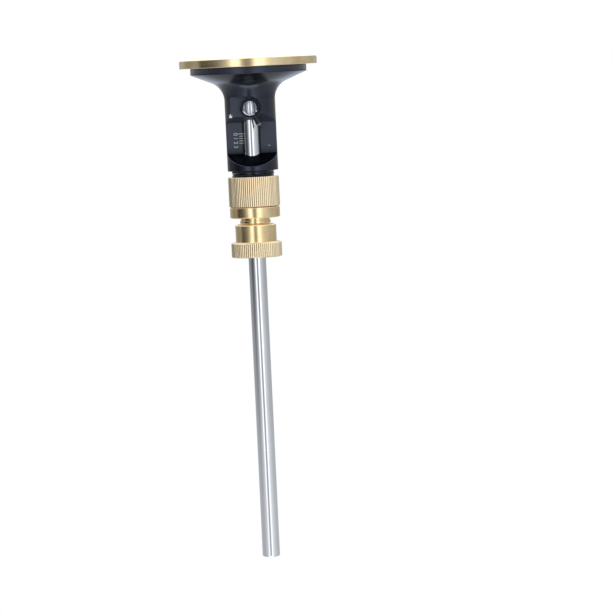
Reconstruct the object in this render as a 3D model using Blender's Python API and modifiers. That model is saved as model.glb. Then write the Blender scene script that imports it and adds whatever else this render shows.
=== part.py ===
"""Wheel marking gauge for woodwork, modelled as an assembly of separate pieces.

The gauge stands on its brass fence, so +Z runs up the steel beam and z = 0 is the fence's face.
The window in the head looks along -Y. Every length is in metres.
"""

from math import cos, hypot, pi, radians, sin, tan

import bmesh
import bpy
from mathutils import Matrix, Vector

MM = 0.001

# ---------------------------------------------------------------- fits and clearances
SEAT_GAP = 0.3 * MM  # between faces that rest on each other
SLIDE_GAP = 0.05 * MM  # radial, where the beam slides in its bores
THREAD_GAP = 0.1 * MM  # radial, where a thread runs on another
EDGE_BREAK = 0.3 * MM  # small chamfer on turned edges

# ---------------------------------------------------------------- fence plate and its screws
FENCE_RADIUS = 31.2 * MM
FENCE_THICKNESS = 3.85 * MM
FENCE_SCREW_COUNT = 4
FENCE_SCREW_CIRCLE = 16.0 * MM
FENCE_SCREW_RADIUS = 1.45 * MM
FENCE_SCREW_HEAD_RADIUS = 2.8 * MM
FENCE_SCREW_HEAD_SINK = 0.25 * MM
FENCE_SCREW_GRIP = 4.4 * MM  # thread length inside the head
FENCE_SCREW_SOCKET_RADIUS = 1.15 * MM
FENCE_SCREW_SOCKET_DEPTH = 1.3 * MM

# ---------------------------------------------------------------- head body
FLANGE_RADIUS = 26.3 * MM
FLANGE_RIM = 2.6 * MM
CONE_ANGLE = radians(67.0)  # the flange's back, measured from the beam's axis
FILLET_RADIUS = 9.0 * MM  # hollow curve from the cone into the tube
TUBE_RADIUS = 11.45 * MM
TUBE_CHAMFER = 0.45 * MM
NECK_RADIUS = 9.7 * MM
NECK_LENGTH = 8.7 * MM
O_RING_WIRE_RADIUS = 0.6 * MM
O_RING_SETBACK = 3.0 * MM  # from the wheel's recess to the groove

# ---------------------------------------------------------------- window across the head
WINDOW_SETBACK = 10.1 * MM  # from the start of the tube to the flat
WINDOW_FLAT_LENGTH = 14.0 * MM
WINDOW_FLAT_HEIGHT = 2.0 * MM  # flat above the beam's axis, towards -Y
WINDOW_FRONT_SLOPE = 0.54  # run along the beam for each unit of rise
WINDOW_REAR_SLOPE = 0.614
WINDOW_REAR_LAND = 2.1 * MM  # full tube left behind the window
WINDOW_BACK_WALL = 1.2 * MM  # wall between the window and the carrier's bore

# ---------------------------------------------------------------- beam lock: hollow screw and lever
LOCK_SETBACK = 3.5 * MM  # from the start of the tube to the lock's axis
LOCK_POCKET_RADIUS = 5.25 * MM
LOCK_POCKET_HEIGHT = 7.1 * MM  # pocket floor above the beam's axis
LOCK_HUB_RADIUS = 4.4 * MM
LOCK_HUB_BORE = 3.05 * MM
LOCK_HUB_TOP = 9.9 * MM
LEVER_RADIUS = 1.15 * MM
LEVER_REACH = 10.4 * MM  # lever tip from the lock's axis
LEVER_REST_ANGLE = radians(116.0)  # from +X towards +Z
LEVER_LIFT = 0.25 * MM  # lever above the pocket floor

# ---------------------------------------------------------------- fine adjuster
ADJUSTER_TRAVEL_IN = 2.3 * MM
ADJUSTER_TRAVEL_OUT = 2.7 * MM
RING_RADIUS = 11.5 * MM
RING_LENGTH = 13.45 * MM
RING_CHAMFER = 0.4 * MM
KNURL_PITCH = 1.0 * MM
KNURL_DEPTH = 0.3 * MM
RING_SPIGOT_RADIUS = 9.6 * MM
RING_SEAM = 0.4 * MM
CAP_RADIUS = 11.3 * MM
CAP_LENGTH = 4.85 * MM
CAP_WALL = 1.7 * MM
CAP_CHAMFER = 0.6 * MM
WASHER_THICKNESS = 0.6 * MM

# ---------------------------------------------------------------- collet carrier
CARRIER_RADIUS = 7.5 * MM
CARRIER_FLANGE_RADIUS = 8.6 * MM
CARRIER_FLANGE_THICKNESS = 1.8 * MM
CARRIER_NECK_RADIUS = 6.6 * MM
CARRIER_NECK_LENGTH = 3.2 * MM
CARRIER_LIP_RADIUS = 6.95 * MM
CARRIER_LIP_LENGTH = 1.3 * MM
CARRIER_THREAD_RADIUS = 6.2 * MM
CARRIER_THREAD_LENGTH = 7.1 * MM
SPRING_LENGTH = 6.5 * MM
SPRING_RADIUS = 4.85 * MM
SPRING_WIRE_RADIUS = 0.35 * MM
SPRING_TURNS = 5
GUIDE_PIN_RADIUS = 0.85 * MM
GUIDE_PIN_CIRCLE = 6.5 * MM
GUIDE_PIN_SEAT = 5.0 * MM  # length held in the head
GUIDE_PIN_REACH = 5.5 * MM  # length inside the carrier's keyway at rest

# ---------------------------------------------------------------- clamp nut and collet
NUT_BARREL_RADIUS = 9.3 * MM
NUT_BARREL_LENGTH = 8.25 * MM
NUT_GRIP_RADIUS = 11.45 * MM
NUT_GRIP_LENGTH = 6.75 * MM
NUT_CHAMFER = 0.6 * MM
COLLET_LENGTH = 6.1 * MM
COLLET_NOSE_RADIUS = 4.75 * MM
COLLET_SLOTS = 4
COLLET_SLOT_WIDTH = 0.8 * MM

# ---------------------------------------------------------------- beam and cutter
BEAM_RADIUS = 4.0 * MM
BEAM_END = 226.8 * MM  # far end, from the fence face
BEAM_CHAMFER = 0.8 * MM
WHEEL_RADIUS = 6.9 * MM
WHEEL_THICKNESS = 1.6 * MM
WHEEL_SINK = 1.0 * MM  # cutting edge behind the fence face at rest
WHEEL_BEVEL = 1.5 * MM
WHEEL_ROOM = 0.7 * MM  # radial room around the wheel in its recess
BEAM_TRAVEL_IN = 1.0 * MM  # from rest, further into the head
CUTTER_SCREW_RADIUS = 1.35 * MM
CUTTER_SCREW_HEAD_RADIUS = 2.4 * MM
CUTTER_SCREW_GRIP = 6.0 * MM  # thread length inside the beam
CUTTER_SCREW_SOCKET_RADIUS = 0.95 * MM
CUTTER_SCREW_SOCKET_LOBE = 0.17 * MM
CUTTER_SCREW_SOCKET_DEPTH = 0.9 * MM

# ---------------------------------------------------------------- facets
LARGE_FACETS = 56
BODY_FACETS = 48
SMALL_FACETS = 36
SCREW_FACETS = 16
O_RING_SIDES = 8
SPRING_STEPS = 12  # points in each turn of the coil
FILLET_STEPS = 6
LOBE_STEPS = 36  # points round the cutter screw's six-lobed socket
OVERCUT = 2.0 * MM  # how far a cutter runs past the face that it opens
PIVOT_MARK = 4 * MM  # drawn size of the empties on the joints' axes


# ================================================================ positions along the beam
FLANGE_START = FENCE_THICKNESS + SEAT_GAP
RIM_END = FLANGE_START + FLANGE_RIM
FILLET_TOP_RADIUS = TUBE_RADIUS + FILLET_RADIUS * (1 - cos(CONE_ANGLE))
CONE_END = RIM_END + (FLANGE_RADIUS - FILLET_TOP_RADIUS) / tan(CONE_ANGLE)
TUBE_START = CONE_END + FILLET_RADIUS * sin(CONE_ANGLE)
LOCK_Z = TUBE_START + LOCK_SETBACK
WINDOW_START = TUBE_START + WINDOW_SETBACK
WINDOW_END = WINDOW_START + WINDOW_FLAT_LENGTH
TUBE_END = WINDOW_END + WINDOW_REAR_SLOPE * (TUBE_RADIUS - WINDOW_FLAT_HEIGHT) + WINDOW_REAR_LAND
NECK_END = TUBE_END + NECK_LENGTH

BEAM_BORE = BEAM_RADIUS + SLIDE_GAP
CARRIER_BORE = CARRIER_RADIUS + THREAD_GAP
CARRIER_BORE_START = (
    WINDOW_END
    + WINDOW_REAR_SLOPE * (CARRIER_BORE - WINDOW_FLAT_HEIGHT)
    + WINDOW_BACK_WALL * hypot(1, WINDOW_REAR_SLOPE)
)

RING_START = TUBE_END + ADJUSTER_TRAVEL_IN + RING_CHAMFER
RING_END = RING_START + RING_LENGTH
RING_WEB = NECK_END + ADJUSTER_TRAVEL_IN + SEAT_GAP
CAP_START = RING_END + RING_SEAM
CAP_END = CAP_START + CAP_LENGTH
CAP_INNER_FACE = CAP_END - CAP_WALL
RING_SPIGOT_END = CAP_INNER_FACE - SEAT_GAP
CARRIER_FLANGE_BACK = CAP_INNER_FACE - SEAT_GAP
CARRIER_FLANGE_FRONT = CARRIER_FLANGE_BACK - CARRIER_FLANGE_THICKNESS
WASHER_END = CARRIER_FLANGE_FRONT - SEAT_GAP
WASHER_START = WASHER_END - WASHER_THICKNESS
RING_RECESS = WASHER_START - SEAT_GAP

CARRIER_START = CARRIER_BORE_START + SPRING_LENGTH
CARRIER_LIP_START = CARRIER_FLANGE_BACK + CARRIER_NECK_LENGTH
CARRIER_LIP_END = CARRIER_LIP_START + CARRIER_LIP_LENGTH
CARRIER_END = CARRIER_LIP_END + CARRIER_THREAD_LENGTH
NUT_START = CARRIER_LIP_END + SEAT_GAP
NUT_SHOULDER = NUT_START + NUT_BARREL_LENGTH
NUT_END = NUT_SHOULDER + NUT_GRIP_LENGTH
COLLET_START = CARRIER_END + SEAT_GAP
COLLET_END = COLLET_START + COLLET_LENGTH
COLLET_TAIL_RADIUS = CARRIER_THREAD_RADIUS - THREAD_GAP

WHEEL_FRONT = WHEEL_SINK
WHEEL_BACK = WHEEL_FRONT + WHEEL_THICKNESS
BEAM_START = WHEEL_BACK + SEAT_GAP
RECESS_RADIUS = WHEEL_RADIUS + WHEEL_ROOM
RECESS_END = WHEEL_BACK + BEAM_TRAVEL_IN + ADJUSTER_TRAVEL_OUT + SEAT_GAP
GROOVE_RADIUS = BEAM_BORE + 2 * O_RING_WIRE_RADIUS + THREAD_GAP
GROOVE_START = RECESS_END + O_RING_SETBACK
GROOVE_END = GROOVE_START + 2 * (O_RING_WIRE_RADIUS + SEAT_GAP)

LEVER_HEIGHT = LOCK_POCKET_HEIGHT + LEVER_LIFT + LEVER_RADIUS
LOCK_HUB_FOOT = BEAM_RADIUS + SEAT_GAP


# ================================================================ materials
def linear(channel):
    """A screen colour channel, 0 to 255, as the linear value that a shader takes."""
    share = channel / 255
    return share / 12.92 if share <= 0.04045 else ((share + 0.055) / 1.055) ** 2.4


def finish(name, colour, roughness, metallic):
    material = bpy.data.materials.new(name)
    material.use_nodes = True
    shader = material.node_tree.nodes["Principled BSDF"]
    shader.inputs["Base Color"].default_value = (*map(linear, colour), 1)
    shader.inputs["Roughness"].default_value = roughness
    shader.inputs["Metallic"].default_value = metallic
    material.diffuse_color = (*map(linear, colour), 1)
    return material


# ================================================================ scene and helpers
def clear_scene():
    for item in list(bpy.data.objects):
        bpy.data.objects.remove(item, do_unlink=True)


def new_collection(name):
    collection = bpy.data.collections.new(name)
    bpy.context.scene.collection.children.link(collection)
    return collection


def add_object(name, mesh, collection, parent=None):
    """A new object whose own numbers stay those of the whole gauge, whatever carries it."""
    item = bpy.data.objects.new(name, mesh)
    collection.objects.link(item)
    if parent:
        item.parent = parent
        item.matrix_parent_inverse = parent.matrix_world.inverted()
    return item


def add_pivot(name, location, parent=None, turn=(0, 0, 0)):
    """An empty on a joint's axis, which carries the pieces that move about it."""
    pivot = add_object(name, None, gauge, parent)
    pivot.empty_display_size = PIVOT_MARK
    pivot.location = location
    pivot.rotation_euler = turn
    bpy.context.view_layer.update()
    return pivot


def draw_locally(item):
    """Reads the piece's numbers in its pivot's own turned frame."""
    item.matrix_parent_inverse = Matrix()


def turned(name, profile, facets, collection, parent=None, closed=True):
    """A turned piece. Its profile of (radius, height) runs down the outside, then up the inside."""
    mesh = bpy.data.meshes.new(name)
    points = [(radius, 0, height) for radius, height in profile]
    edges = [(i, i + 1) for i in range(len(points) - 1)]
    if closed:
        edges.append((len(points) - 1, 0))
    mesh.from_pydata(points, edges, [])
    item = add_object(name, mesh, collection, parent)
    screw = item.modifiers.new("Turn", "SCREW")
    screw.steps = facets
    screw.render_steps = facets
    screw.use_merge_vertices = True
    screw.merge_threshold = 0.00001
    return item


def mesh_of_curve(curve, rise=0.0):
    """The curve's surface as one closed mesh with its caps welded on, lifted by rise."""
    drawn = add_object(curve.name + "_drawn", curve, cutters)
    bpy.context.view_layer.update()
    graph = bpy.context.evaluated_depsgraph_get()
    mesh = bpy.data.meshes.new_from_object(drawn.evaluated_get(graph))
    bpy.data.objects.remove(drawn)
    cage = bmesh.new()
    cage.from_mesh(mesh)
    bmesh.ops.remove_doubles(cage, verts=cage.verts, dist=0.000001)
    bmesh.ops.translate(cage, vec=(0, 0, rise), verts=cage.verts)
    bmesh.ops.recalc_face_normals(cage, faces=cage.faces)
    cage.to_mesh(mesh)
    cage.free()
    return mesh


def prism(name, outline, low, high, collection):
    """A flat outline of (x, y) points, raised from low to high along local Z."""
    curve = bpy.data.curves.new(name, "CURVE")
    curve.dimensions = "2D"
    curve.fill_mode = "BOTH"
    curve.extrude = (high - low) / 2
    spline = curve.splines.new("POLY")
    spline.points.add(len(outline) - 1)
    for point, (x, y) in zip(spline.points, outline):
        point.co = (x, y, 0, 1)
    spline.use_cyclic_u = True
    return add_object(name, mesh_of_curve(curve, (low + high) / 2), collection)


def rod_between(name, start, end, radius, facets, collection, parent=None):
    """A plain cylinder from one point to another, with its origin at the first."""
    start, end = Vector(start), Vector(end)
    span = end - start
    cage = bmesh.new()
    bmesh.ops.create_cone(
        cage, cap_ends=True, segments=facets, radius1=radius, radius2=radius, depth=span.length
    )
    turn = span.to_track_quat("Z", "Y").to_matrix().to_4x4()
    bmesh.ops.transform(cage, matrix=turn @ Matrix.Translation((0, 0, span.length / 2)), verts=cage.verts)
    mesh = bpy.data.meshes.new(name)
    cage.to_mesh(mesh)
    cage.free()
    item = add_object(name, mesh, collection, parent)
    item.location = start
    return item


def block(name, low, high, collection):
    """A box from its low corner to its high corner."""
    cage = bmesh.new()
    bmesh.ops.create_cube(cage, size=1)
    low, high = Vector(low), Vector(high)
    bmesh.ops.scale(cage, vec=high - low, verts=cage.verts)
    bmesh.ops.translate(cage, vec=(low + high) / 2, verts=cage.verts)
    mesh = bpy.data.meshes.new(name)
    cage.to_mesh(mesh)
    cage.free()
    return add_object(name, mesh, collection)


def cut(piece, *tools):
    combine(piece, "DIFFERENCE", tools)


def keep_inside(piece, *tools):
    combine(piece, "INTERSECT", tools)


def combine(piece, operation, tools):
    for tool in tools:
        tool.hide_render = True
        tool.display_type = "WIRE"
        boolean = piece.modifiers.new(tool.name, "BOOLEAN")
        boolean.operation = operation
        boolean.solver = "EXACT"
        boolean.object = tool


def dress(piece, material):
    """Settles the modifiers into the mesh, shades it smooth with crisp edges, and gives its finish."""
    bpy.context.view_layer.update()
    graph = bpy.context.evaluated_depsgraph_get()
    mesh = bpy.data.meshes.new_from_object(piece.evaluated_get(graph))
    mesh.name = piece.name
    piece.modifiers.clear()
    piece.data = mesh
    mesh.shade_smooth()
    mesh.set_sharp_from_angle(angle=radians(28))
    mesh.materials.clear()
    mesh.materials.append(material)
    return piece


def chamfered(radius, low, high, low_cut, high_cut):
    """The outer side of a turned part from top to bottom, with a chamfer at each end that has one."""
    side = [(radius - high_cut, high), (radius, high - high_cut)] if high_cut else [(radius, high)]
    side += [(radius, low + low_cut), (radius - low_cut, low)] if low_cut else [(radius, low)]
    return side


def flute_outline(radius, depth, pitch):
    """Straight knurling: a wave of V flutes around a circle, as near the pitch as divides it."""
    flutes = round(2 * pi * radius / pitch)
    step = pi / flutes
    return [
        ((radius - depth * (i % 2)) * cos(i * step), (radius - depth * (i % 2)) * sin(i * step))
        for i in range(2 * flutes)
    ]


def ring_of(radius, count, phase=0.0):
    """Points (x, y) spread evenly round a circle."""
    return [
        (radius * cos(phase + 2 * pi * i / count), radius * sin(phase + 2 * pi * i / count))
        for i in range(count)
    ]


# ================================================================ fence plate and its screws
def fence_screw_places():
    return ring_of(FENCE_SCREW_CIRCLE, FENCE_SCREW_COUNT, pi / FENCE_SCREW_COUNT)


def countersunk_profile(head_radius, shank_radius, top, tip):
    """A flat-headed screw that points up: axis, tip, shank, cone, head, axis."""
    cone_end = top + head_radius - shank_radius
    return [
        (0, tip),
        (shank_radius - EDGE_BREAK, tip),
        (shank_radius, tip - EDGE_BREAK),
        (shank_radius, cone_end),
        (head_radius, top + EDGE_BREAK / 3),
        (head_radius, top),
        (0, top),
    ]


def countersunk_hole(name, head_radius, shank_radius, top, end, play):
    """The cutter for such a screw's hole, its cone carried past the face at the top."""
    cone_end = top + head_radius - shank_radius
    wide = head_radius + play
    profile = [
        (0, end),
        (shank_radius + play, end),
        (shank_radius + play, cone_end),
        (wide, top),
        (wide, top - OVERCUT),
        (0, top - OVERCUT),
    ]
    return turned(name, profile, SCREW_FACETS, cutters, closed=False)


def make_fence():
    profile = chamfered(FENCE_RADIUS, 0, FENCE_THICKNESS, EDGE_BREAK, EDGE_BREAK)
    profile += [(RECESS_RADIUS + EDGE_BREAK, 0), (RECESS_RADIUS, EDGE_BREAK)]
    profile += [(RECESS_RADIUS, FENCE_THICKNESS)]
    plate = turned("fence_plate", profile, LARGE_FACETS, gauge, head)
    for number, (x, y) in enumerate(fence_screw_places(), 1):
        hole = countersunk_hole(
            f"plate_hole_{number}",
            FENCE_SCREW_HEAD_RADIUS,
            FENCE_SCREW_RADIUS,
            FENCE_SCREW_HEAD_SINK,
            FENCE_THICKNESS + OVERCUT,
            THREAD_GAP,
        )
        hole.location = (x, y, 0)
        cut(plate, hole)
    dress(plate, brass)


def make_fence_screws():
    tip = FLANGE_START + FENCE_SCREW_GRIP
    for number, (x, y) in enumerate(fence_screw_places(), 1):
        profile = countersunk_profile(
            FENCE_SCREW_HEAD_RADIUS, FENCE_SCREW_RADIUS, FENCE_SCREW_HEAD_SINK, tip
        )
        screw = turned(f"fence_screw_{number}", profile, SCREW_FACETS, gauge, head, closed=False)
        screw.location = (x, y, 0)
        socket = prism(
            f"fence_socket_{number}",
            ring_of(FENCE_SCREW_SOCKET_RADIUS, 6),
            FENCE_SCREW_HEAD_SINK - OVERCUT,
            FENCE_SCREW_HEAD_SINK + FENCE_SCREW_SOCKET_DEPTH,
            cutters,
        )
        socket.location = (x, y, 0)
        cut(screw, socket)
        dress(screw, steel)


# ================================================================ head body
def fillet_points():
    """The hollow curve from the tube to the cone, as points on its arc from top to bottom."""
    middle = TUBE_RADIUS + FILLET_RADIUS
    angles = [CONE_ANGLE * i / FILLET_STEPS for i in range(FILLET_STEPS + 1)]
    return [(middle - FILLET_RADIUS * cos(a), TUBE_START - FILLET_RADIUS * sin(a)) for a in angles]


def window_tool():
    """The window's cross section, drawn in the plane of the beam and the view, and carried across."""
    rise = TUBE_RADIUS + OVERCUT - WINDOW_FLAT_HEIGHT
    outer = -(TUBE_RADIUS + OVERCUT)
    outline = [
        (outer, WINDOW_START - WINDOW_FRONT_SLOPE * rise),
        (-WINDOW_FLAT_HEIGHT, WINDOW_START),
        (-WINDOW_FLAT_HEIGHT, WINDOW_END),
        (outer, WINDOW_END + WINDOW_REAR_SLOPE * rise),
    ]
    half_width = TUBE_RADIUS + OVERCUT
    tool = prism("window_tool", outline, -half_width, half_width, cutters)
    # local X, Y and Z become Y, Z and X
    tool.matrix_world = Matrix(((0, 0, 1, 0), (1, 0, 0, 0), (0, 1, 0, 0), (0, 0, 0, 1)))
    return tool


def lock_tools():
    """The lever's pocket, open towards +X, and the lock screw's hole down to the beam."""
    outer = TUBE_RADIUS + OVERCUT
    pocket = rod_between(
        "pocket_tool",
        (0, -LOCK_POCKET_HEIGHT, LOCK_Z),
        (0, -outer, LOCK_Z),
        LOCK_POCKET_RADIUS,
        SMALL_FACETS,
        cutters,
    )
    # the side clearance stays one step inside the round end, so that no two faces coincide
    half = LOCK_POCKET_RADIUS * cos(pi / SMALL_FACETS)
    side = block(
        "pocket_side_tool", (0, -outer, LOCK_Z - half), (outer, -LOCK_POCKET_HEIGHT, LOCK_Z + half), cutters
    )
    thread = rod_between(
        "lock_thread_tool",
        (0, -BEAM_RADIUS, LOCK_Z),
        (0, -LOCK_POCKET_HEIGHT - OVERCUT, LOCK_Z),
        LOCK_HUB_RADIUS + THREAD_GAP,
        SMALL_FACETS,
        cutters,
    )
    sight = rod_between(
        "lock_sight_tool",
        (0, -BEAM_RADIUS / 4, LOCK_Z),
        (0, -LOCK_POCKET_HEIGHT, LOCK_Z),
        LOCK_HUB_BORE + THREAD_GAP,
        SMALL_FACETS,
        cutters,
    )
    return pocket, side, thread, sight


def make_head_body():
    profile = chamfered(NECK_RADIUS, TUBE_END, NECK_END, 0, EDGE_BREAK)
    profile += [(TUBE_RADIUS - TUBE_CHAMFER, TUBE_END), (TUBE_RADIUS, TUBE_END - TUBE_CHAMFER)]
    profile += fillet_points()
    profile += chamfered(FLANGE_RADIUS, FLANGE_START, RIM_END, EDGE_BREAK, 0)
    profile += [
        (RECESS_RADIUS, FLANGE_START),
        (RECESS_RADIUS, RECESS_END),
        (BEAM_BORE, RECESS_END),
        (BEAM_BORE, GROOVE_START),
        (GROOVE_RADIUS, GROOVE_START),
        (GROOVE_RADIUS, GROOVE_END),
        (BEAM_BORE, GROOVE_END),
        (BEAM_BORE, CARRIER_BORE_START),
        (CARRIER_BORE, CARRIER_BORE_START),
        (CARRIER_BORE, NECK_END),
    ]
    body = turned("head_body", profile, BODY_FACETS, gauge, head)
    cut(body, window_tool(), *lock_tools())
    for number, (x, y) in enumerate(fence_screw_places(), 1):
        tap = rod_between(
            f"tapped_hole_{number}",
            (x, y, FLANGE_START - OVERCUT),
            (x, y, FLANGE_START + FENCE_SCREW_GRIP + SEAT_GAP),
            FENCE_SCREW_RADIUS + THREAD_GAP,
            SCREW_FACETS,
            cutters,
        )
        cut(body, tap)
    pin_hole = rod_between(
        "guide_pin_hole",
        (0, GUIDE_PIN_CIRCLE, CARRIER_BORE_START - GUIDE_PIN_SEAT - SEAT_GAP),
        (0, GUIDE_PIN_CIRCLE, CARRIER_BORE_START + OVERCUT),
        GUIDE_PIN_RADIUS + THREAD_GAP,
        SCREW_FACETS,
        cutters,
    )
    cut(body, pin_hole)
    dress(body, black)


def make_o_ring():
    middle = BEAM_BORE + O_RING_WIRE_RADIUS + THREAD_GAP / 2
    height = (GROOVE_START + GROOVE_END) / 2
    angles = [pi / 2 - 2 * pi * i / O_RING_SIDES for i in range(O_RING_SIDES)]
    profile = [
        (middle + O_RING_WIRE_RADIUS * cos(a), height + O_RING_WIRE_RADIUS * sin(a)) for a in angles
    ]
    dress(turned("drag_o_ring", profile, SMALL_FACETS, gauge, head), rubber)


def make_guide_pin():
    low = CARRIER_BORE_START - GUIDE_PIN_SEAT
    high = CARRIER_START + GUIDE_PIN_REACH
    profile = [(0, high), *chamfered(GUIDE_PIN_RADIUS, low, high, EDGE_BREAK, EDGE_BREAK), (0, low)]
    pin = turned("guide_pin", profile, SCREW_FACETS, gauge, head, closed=False)
    pin.location = (0, GUIDE_PIN_CIRCLE, 0)
    dress(pin, steel)


def make_spring():
    """An open coil between the head's shoulder and the carrier, which takes up the thread's play."""
    low = CARRIER_BORE_START + SPRING_WIRE_RADIUS + THREAD_GAP
    high = CARRIER_START - SPRING_WIRE_RADIUS - THREAD_GAP
    curve = bpy.data.curves.new("preload_spring", "CURVE")
    curve.dimensions = "3D"
    curve.bevel_depth = SPRING_WIRE_RADIUS
    curve.bevel_resolution = 1
    curve.use_fill_caps = True
    spline = curve.splines.new("POLY")
    count = SPRING_TURNS * SPRING_STEPS + 1
    spline.points.add(count - 1)
    for i, point in enumerate(spline.points):
        angle = 2 * pi * i / SPRING_STEPS
        height = low + (high - low) * i / (count - 1)
        point.co = (SPRING_RADIUS * cos(angle), SPRING_RADIUS * sin(angle), height, 1)
    dress(add_object("preload_spring", mesh_of_curve(curve), gauge, head), steel)


# ================================================================ beam lock
def make_lock():
    """The hollow lock screw and its lever, drawn with local Z pointing out of the head along -Y."""
    profile = chamfered(LOCK_HUB_RADIUS, LOCK_HUB_FOOT, LOCK_HUB_TOP, EDGE_BREAK, EDGE_BREAK)
    profile += [
        (LOCK_HUB_BORE, LOCK_HUB_FOOT),
        (LOCK_HUB_BORE, LOCK_HUB_TOP - EDGE_BREAK),
        (LOCK_HUB_BORE + EDGE_BREAK, LOCK_HUB_TOP),
    ]
    hub = turned("lock_hub", profile, SMALL_FACETS, gauge, lever_pivot)
    draw_locally(hub)
    along = Vector((cos(LEVER_REST_ANGLE), sin(LEVER_REST_ANGLE), 0))
    level = Vector((0, 0, LEVER_HEIGHT))
    pin_hole = rod_between(
        "lever_hole",
        level + along * (LOCK_HUB_BORE - OVERCUT),
        level + along * (LOCK_HUB_RADIUS + OVERCUT),
        LEVER_RADIUS + THREAD_GAP,
        SCREW_FACETS,
        cutters,
        lever_pivot,
    )
    draw_locally(pin_hole)
    cut(hub, pin_hole)
    dress(hub, black)

    low = LOCK_HUB_BORE + SEAT_GAP
    profile = [(0, LEVER_REACH), *chamfered(LEVER_RADIUS, low, LEVER_REACH, 0, EDGE_BREAK), (0, low)]
    lever = turned("lock_lever_pin", profile, SCREW_FACETS, gauge, lever_pivot, closed=False)
    draw_locally(lever)
    lever.rotation_euler = along.to_track_quat("Z", "Y").to_euler()
    lever.location = level
    dress(lever, black_steel)


# ================================================================ fine adjuster
def make_adjuster_ring():
    thread_bore = NECK_RADIUS + THREAD_GAP
    flange_room = CARRIER_FLANGE_RADIUS + 2 * THREAD_GAP
    profile = [(RING_SPIGOT_RADIUS, RING_SPIGOT_END), (RING_SPIGOT_RADIUS, RING_END)]
    profile += chamfered(RING_RADIUS, RING_START, RING_END, RING_CHAMFER, RING_CHAMFER / 2)
    profile += [
        (thread_bore, RING_START),
        (thread_bore, RING_WEB),
        (CARRIER_BORE, RING_WEB),
        (CARRIER_BORE, RING_RECESS),
        (flange_room, RING_RECESS),
        (flange_room, RING_SPIGOT_END),
    ]
    ring = turned("adjuster_ring", profile, BODY_FACETS, gauge, adjuster_pivot)
    knurl = prism(
        "ring_knurl",
        flute_outline(RING_RADIUS, KNURL_DEPTH, KNURL_PITCH),
        RING_START - OVERCUT,
        RING_SPIGOT_END + OVERCUT,
        cutters,
    )
    keep_inside(ring, knurl)
    dress(ring, brass)


def make_retaining_cap():
    inner = RING_SPIGOT_RADIUS + THREAD_GAP
    hole = CARRIER_LIP_RADIUS + 1.5 * THREAD_GAP
    profile = chamfered(CAP_RADIUS, CAP_START, CAP_END, EDGE_BREAK / 2, CAP_CHAMFER)
    profile += [(inner, CAP_START), (inner, CAP_INNER_FACE), (hole, CAP_INNER_FACE), (hole, CAP_END)]
    dress(turned("retaining_cap", profile, BODY_FACETS, gauge, adjuster_pivot), brass)


def make_thrust_washer():
    outer = CARRIER_FLANGE_RADIUS
    inner = CARRIER_RADIUS + 2 * THREAD_GAP
    profile = [(outer, WASHER_END), (outer, WASHER_START), (inner, WASHER_START), (inner, WASHER_END)]
    dress(turned("thrust_washer", profile, SMALL_FACETS, gauge, adjuster_pivot), bronze)


def make_carrier():
    bore = BEAM_RADIUS + THREAD_GAP
    profile = chamfered(CARRIER_THREAD_RADIUS, CARRIER_LIP_END, CARRIER_END, 0, EDGE_BREAK)
    profile += chamfered(CARRIER_LIP_RADIUS, CARRIER_LIP_START, CARRIER_LIP_END, 0, EDGE_BREAK / 2)
    profile += [(CARRIER_NECK_RADIUS, CARRIER_LIP_START), (CARRIER_NECK_RADIUS, CARRIER_FLANGE_BACK)]
    profile += [(CARRIER_FLANGE_RADIUS, CARRIER_FLANGE_BACK), (CARRIER_FLANGE_RADIUS, CARRIER_FLANGE_FRONT)]
    profile += chamfered(CARRIER_RADIUS, CARRIER_START, CARRIER_FLANGE_FRONT, EDGE_BREAK, 0)
    profile += [(bore, CARRIER_START), (bore, CARRIER_END)]
    carrier = turned("collet_carrier", profile, SMALL_FACETS, gauge, carrier_pivot)
    half = GUIDE_PIN_RADIUS + THREAD_GAP
    depth = GUIDE_PIN_REACH + ADJUSTER_TRAVEL_IN + SEAT_GAP
    keyway = block(
        "keyway_tool",
        (-half, GUIDE_PIN_CIRCLE - half, CARRIER_START - OVERCUT),
        (half, CARRIER_RADIUS + OVERCUT, CARRIER_START + depth),
        cutters,
    )
    cut(carrier, keyway)
    dress(carrier, brass)


# ================================================================ clamp nut and collet
def make_collet():
    """A split cone round the beam: one slot runs its whole length, the others stop short of the tail."""
    bore = BEAM_RADIUS + THREAD_GAP
    profile = [
        (COLLET_NOSE_RADIUS, COLLET_END),
        (COLLET_TAIL_RADIUS, COLLET_START),
        (bore, COLLET_START),
        (bore, COLLET_END),
    ]
    collet = turned("split_collet", profile, SMALL_FACETS, gauge, collet_pivot)
    half = COLLET_SLOT_WIDTH / 2
    tail_web = COLLET_LENGTH / 4
    for number in range(COLLET_SLOTS):
        foot = COLLET_START + (tail_web if number else -OVERCUT)
        slot = block(
            f"collet_slot_{number + 1}",
            (BEAM_RADIUS / 2, -half, foot),
            (COLLET_TAIL_RADIUS + OVERCUT, half, COLLET_END + OVERCUT),
            cutters,
        )
        slot.rotation_euler.z = 2 * pi * (number + 0.5) / COLLET_SLOTS
        cut(collet, slot)
    dress(collet, steel)


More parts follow.
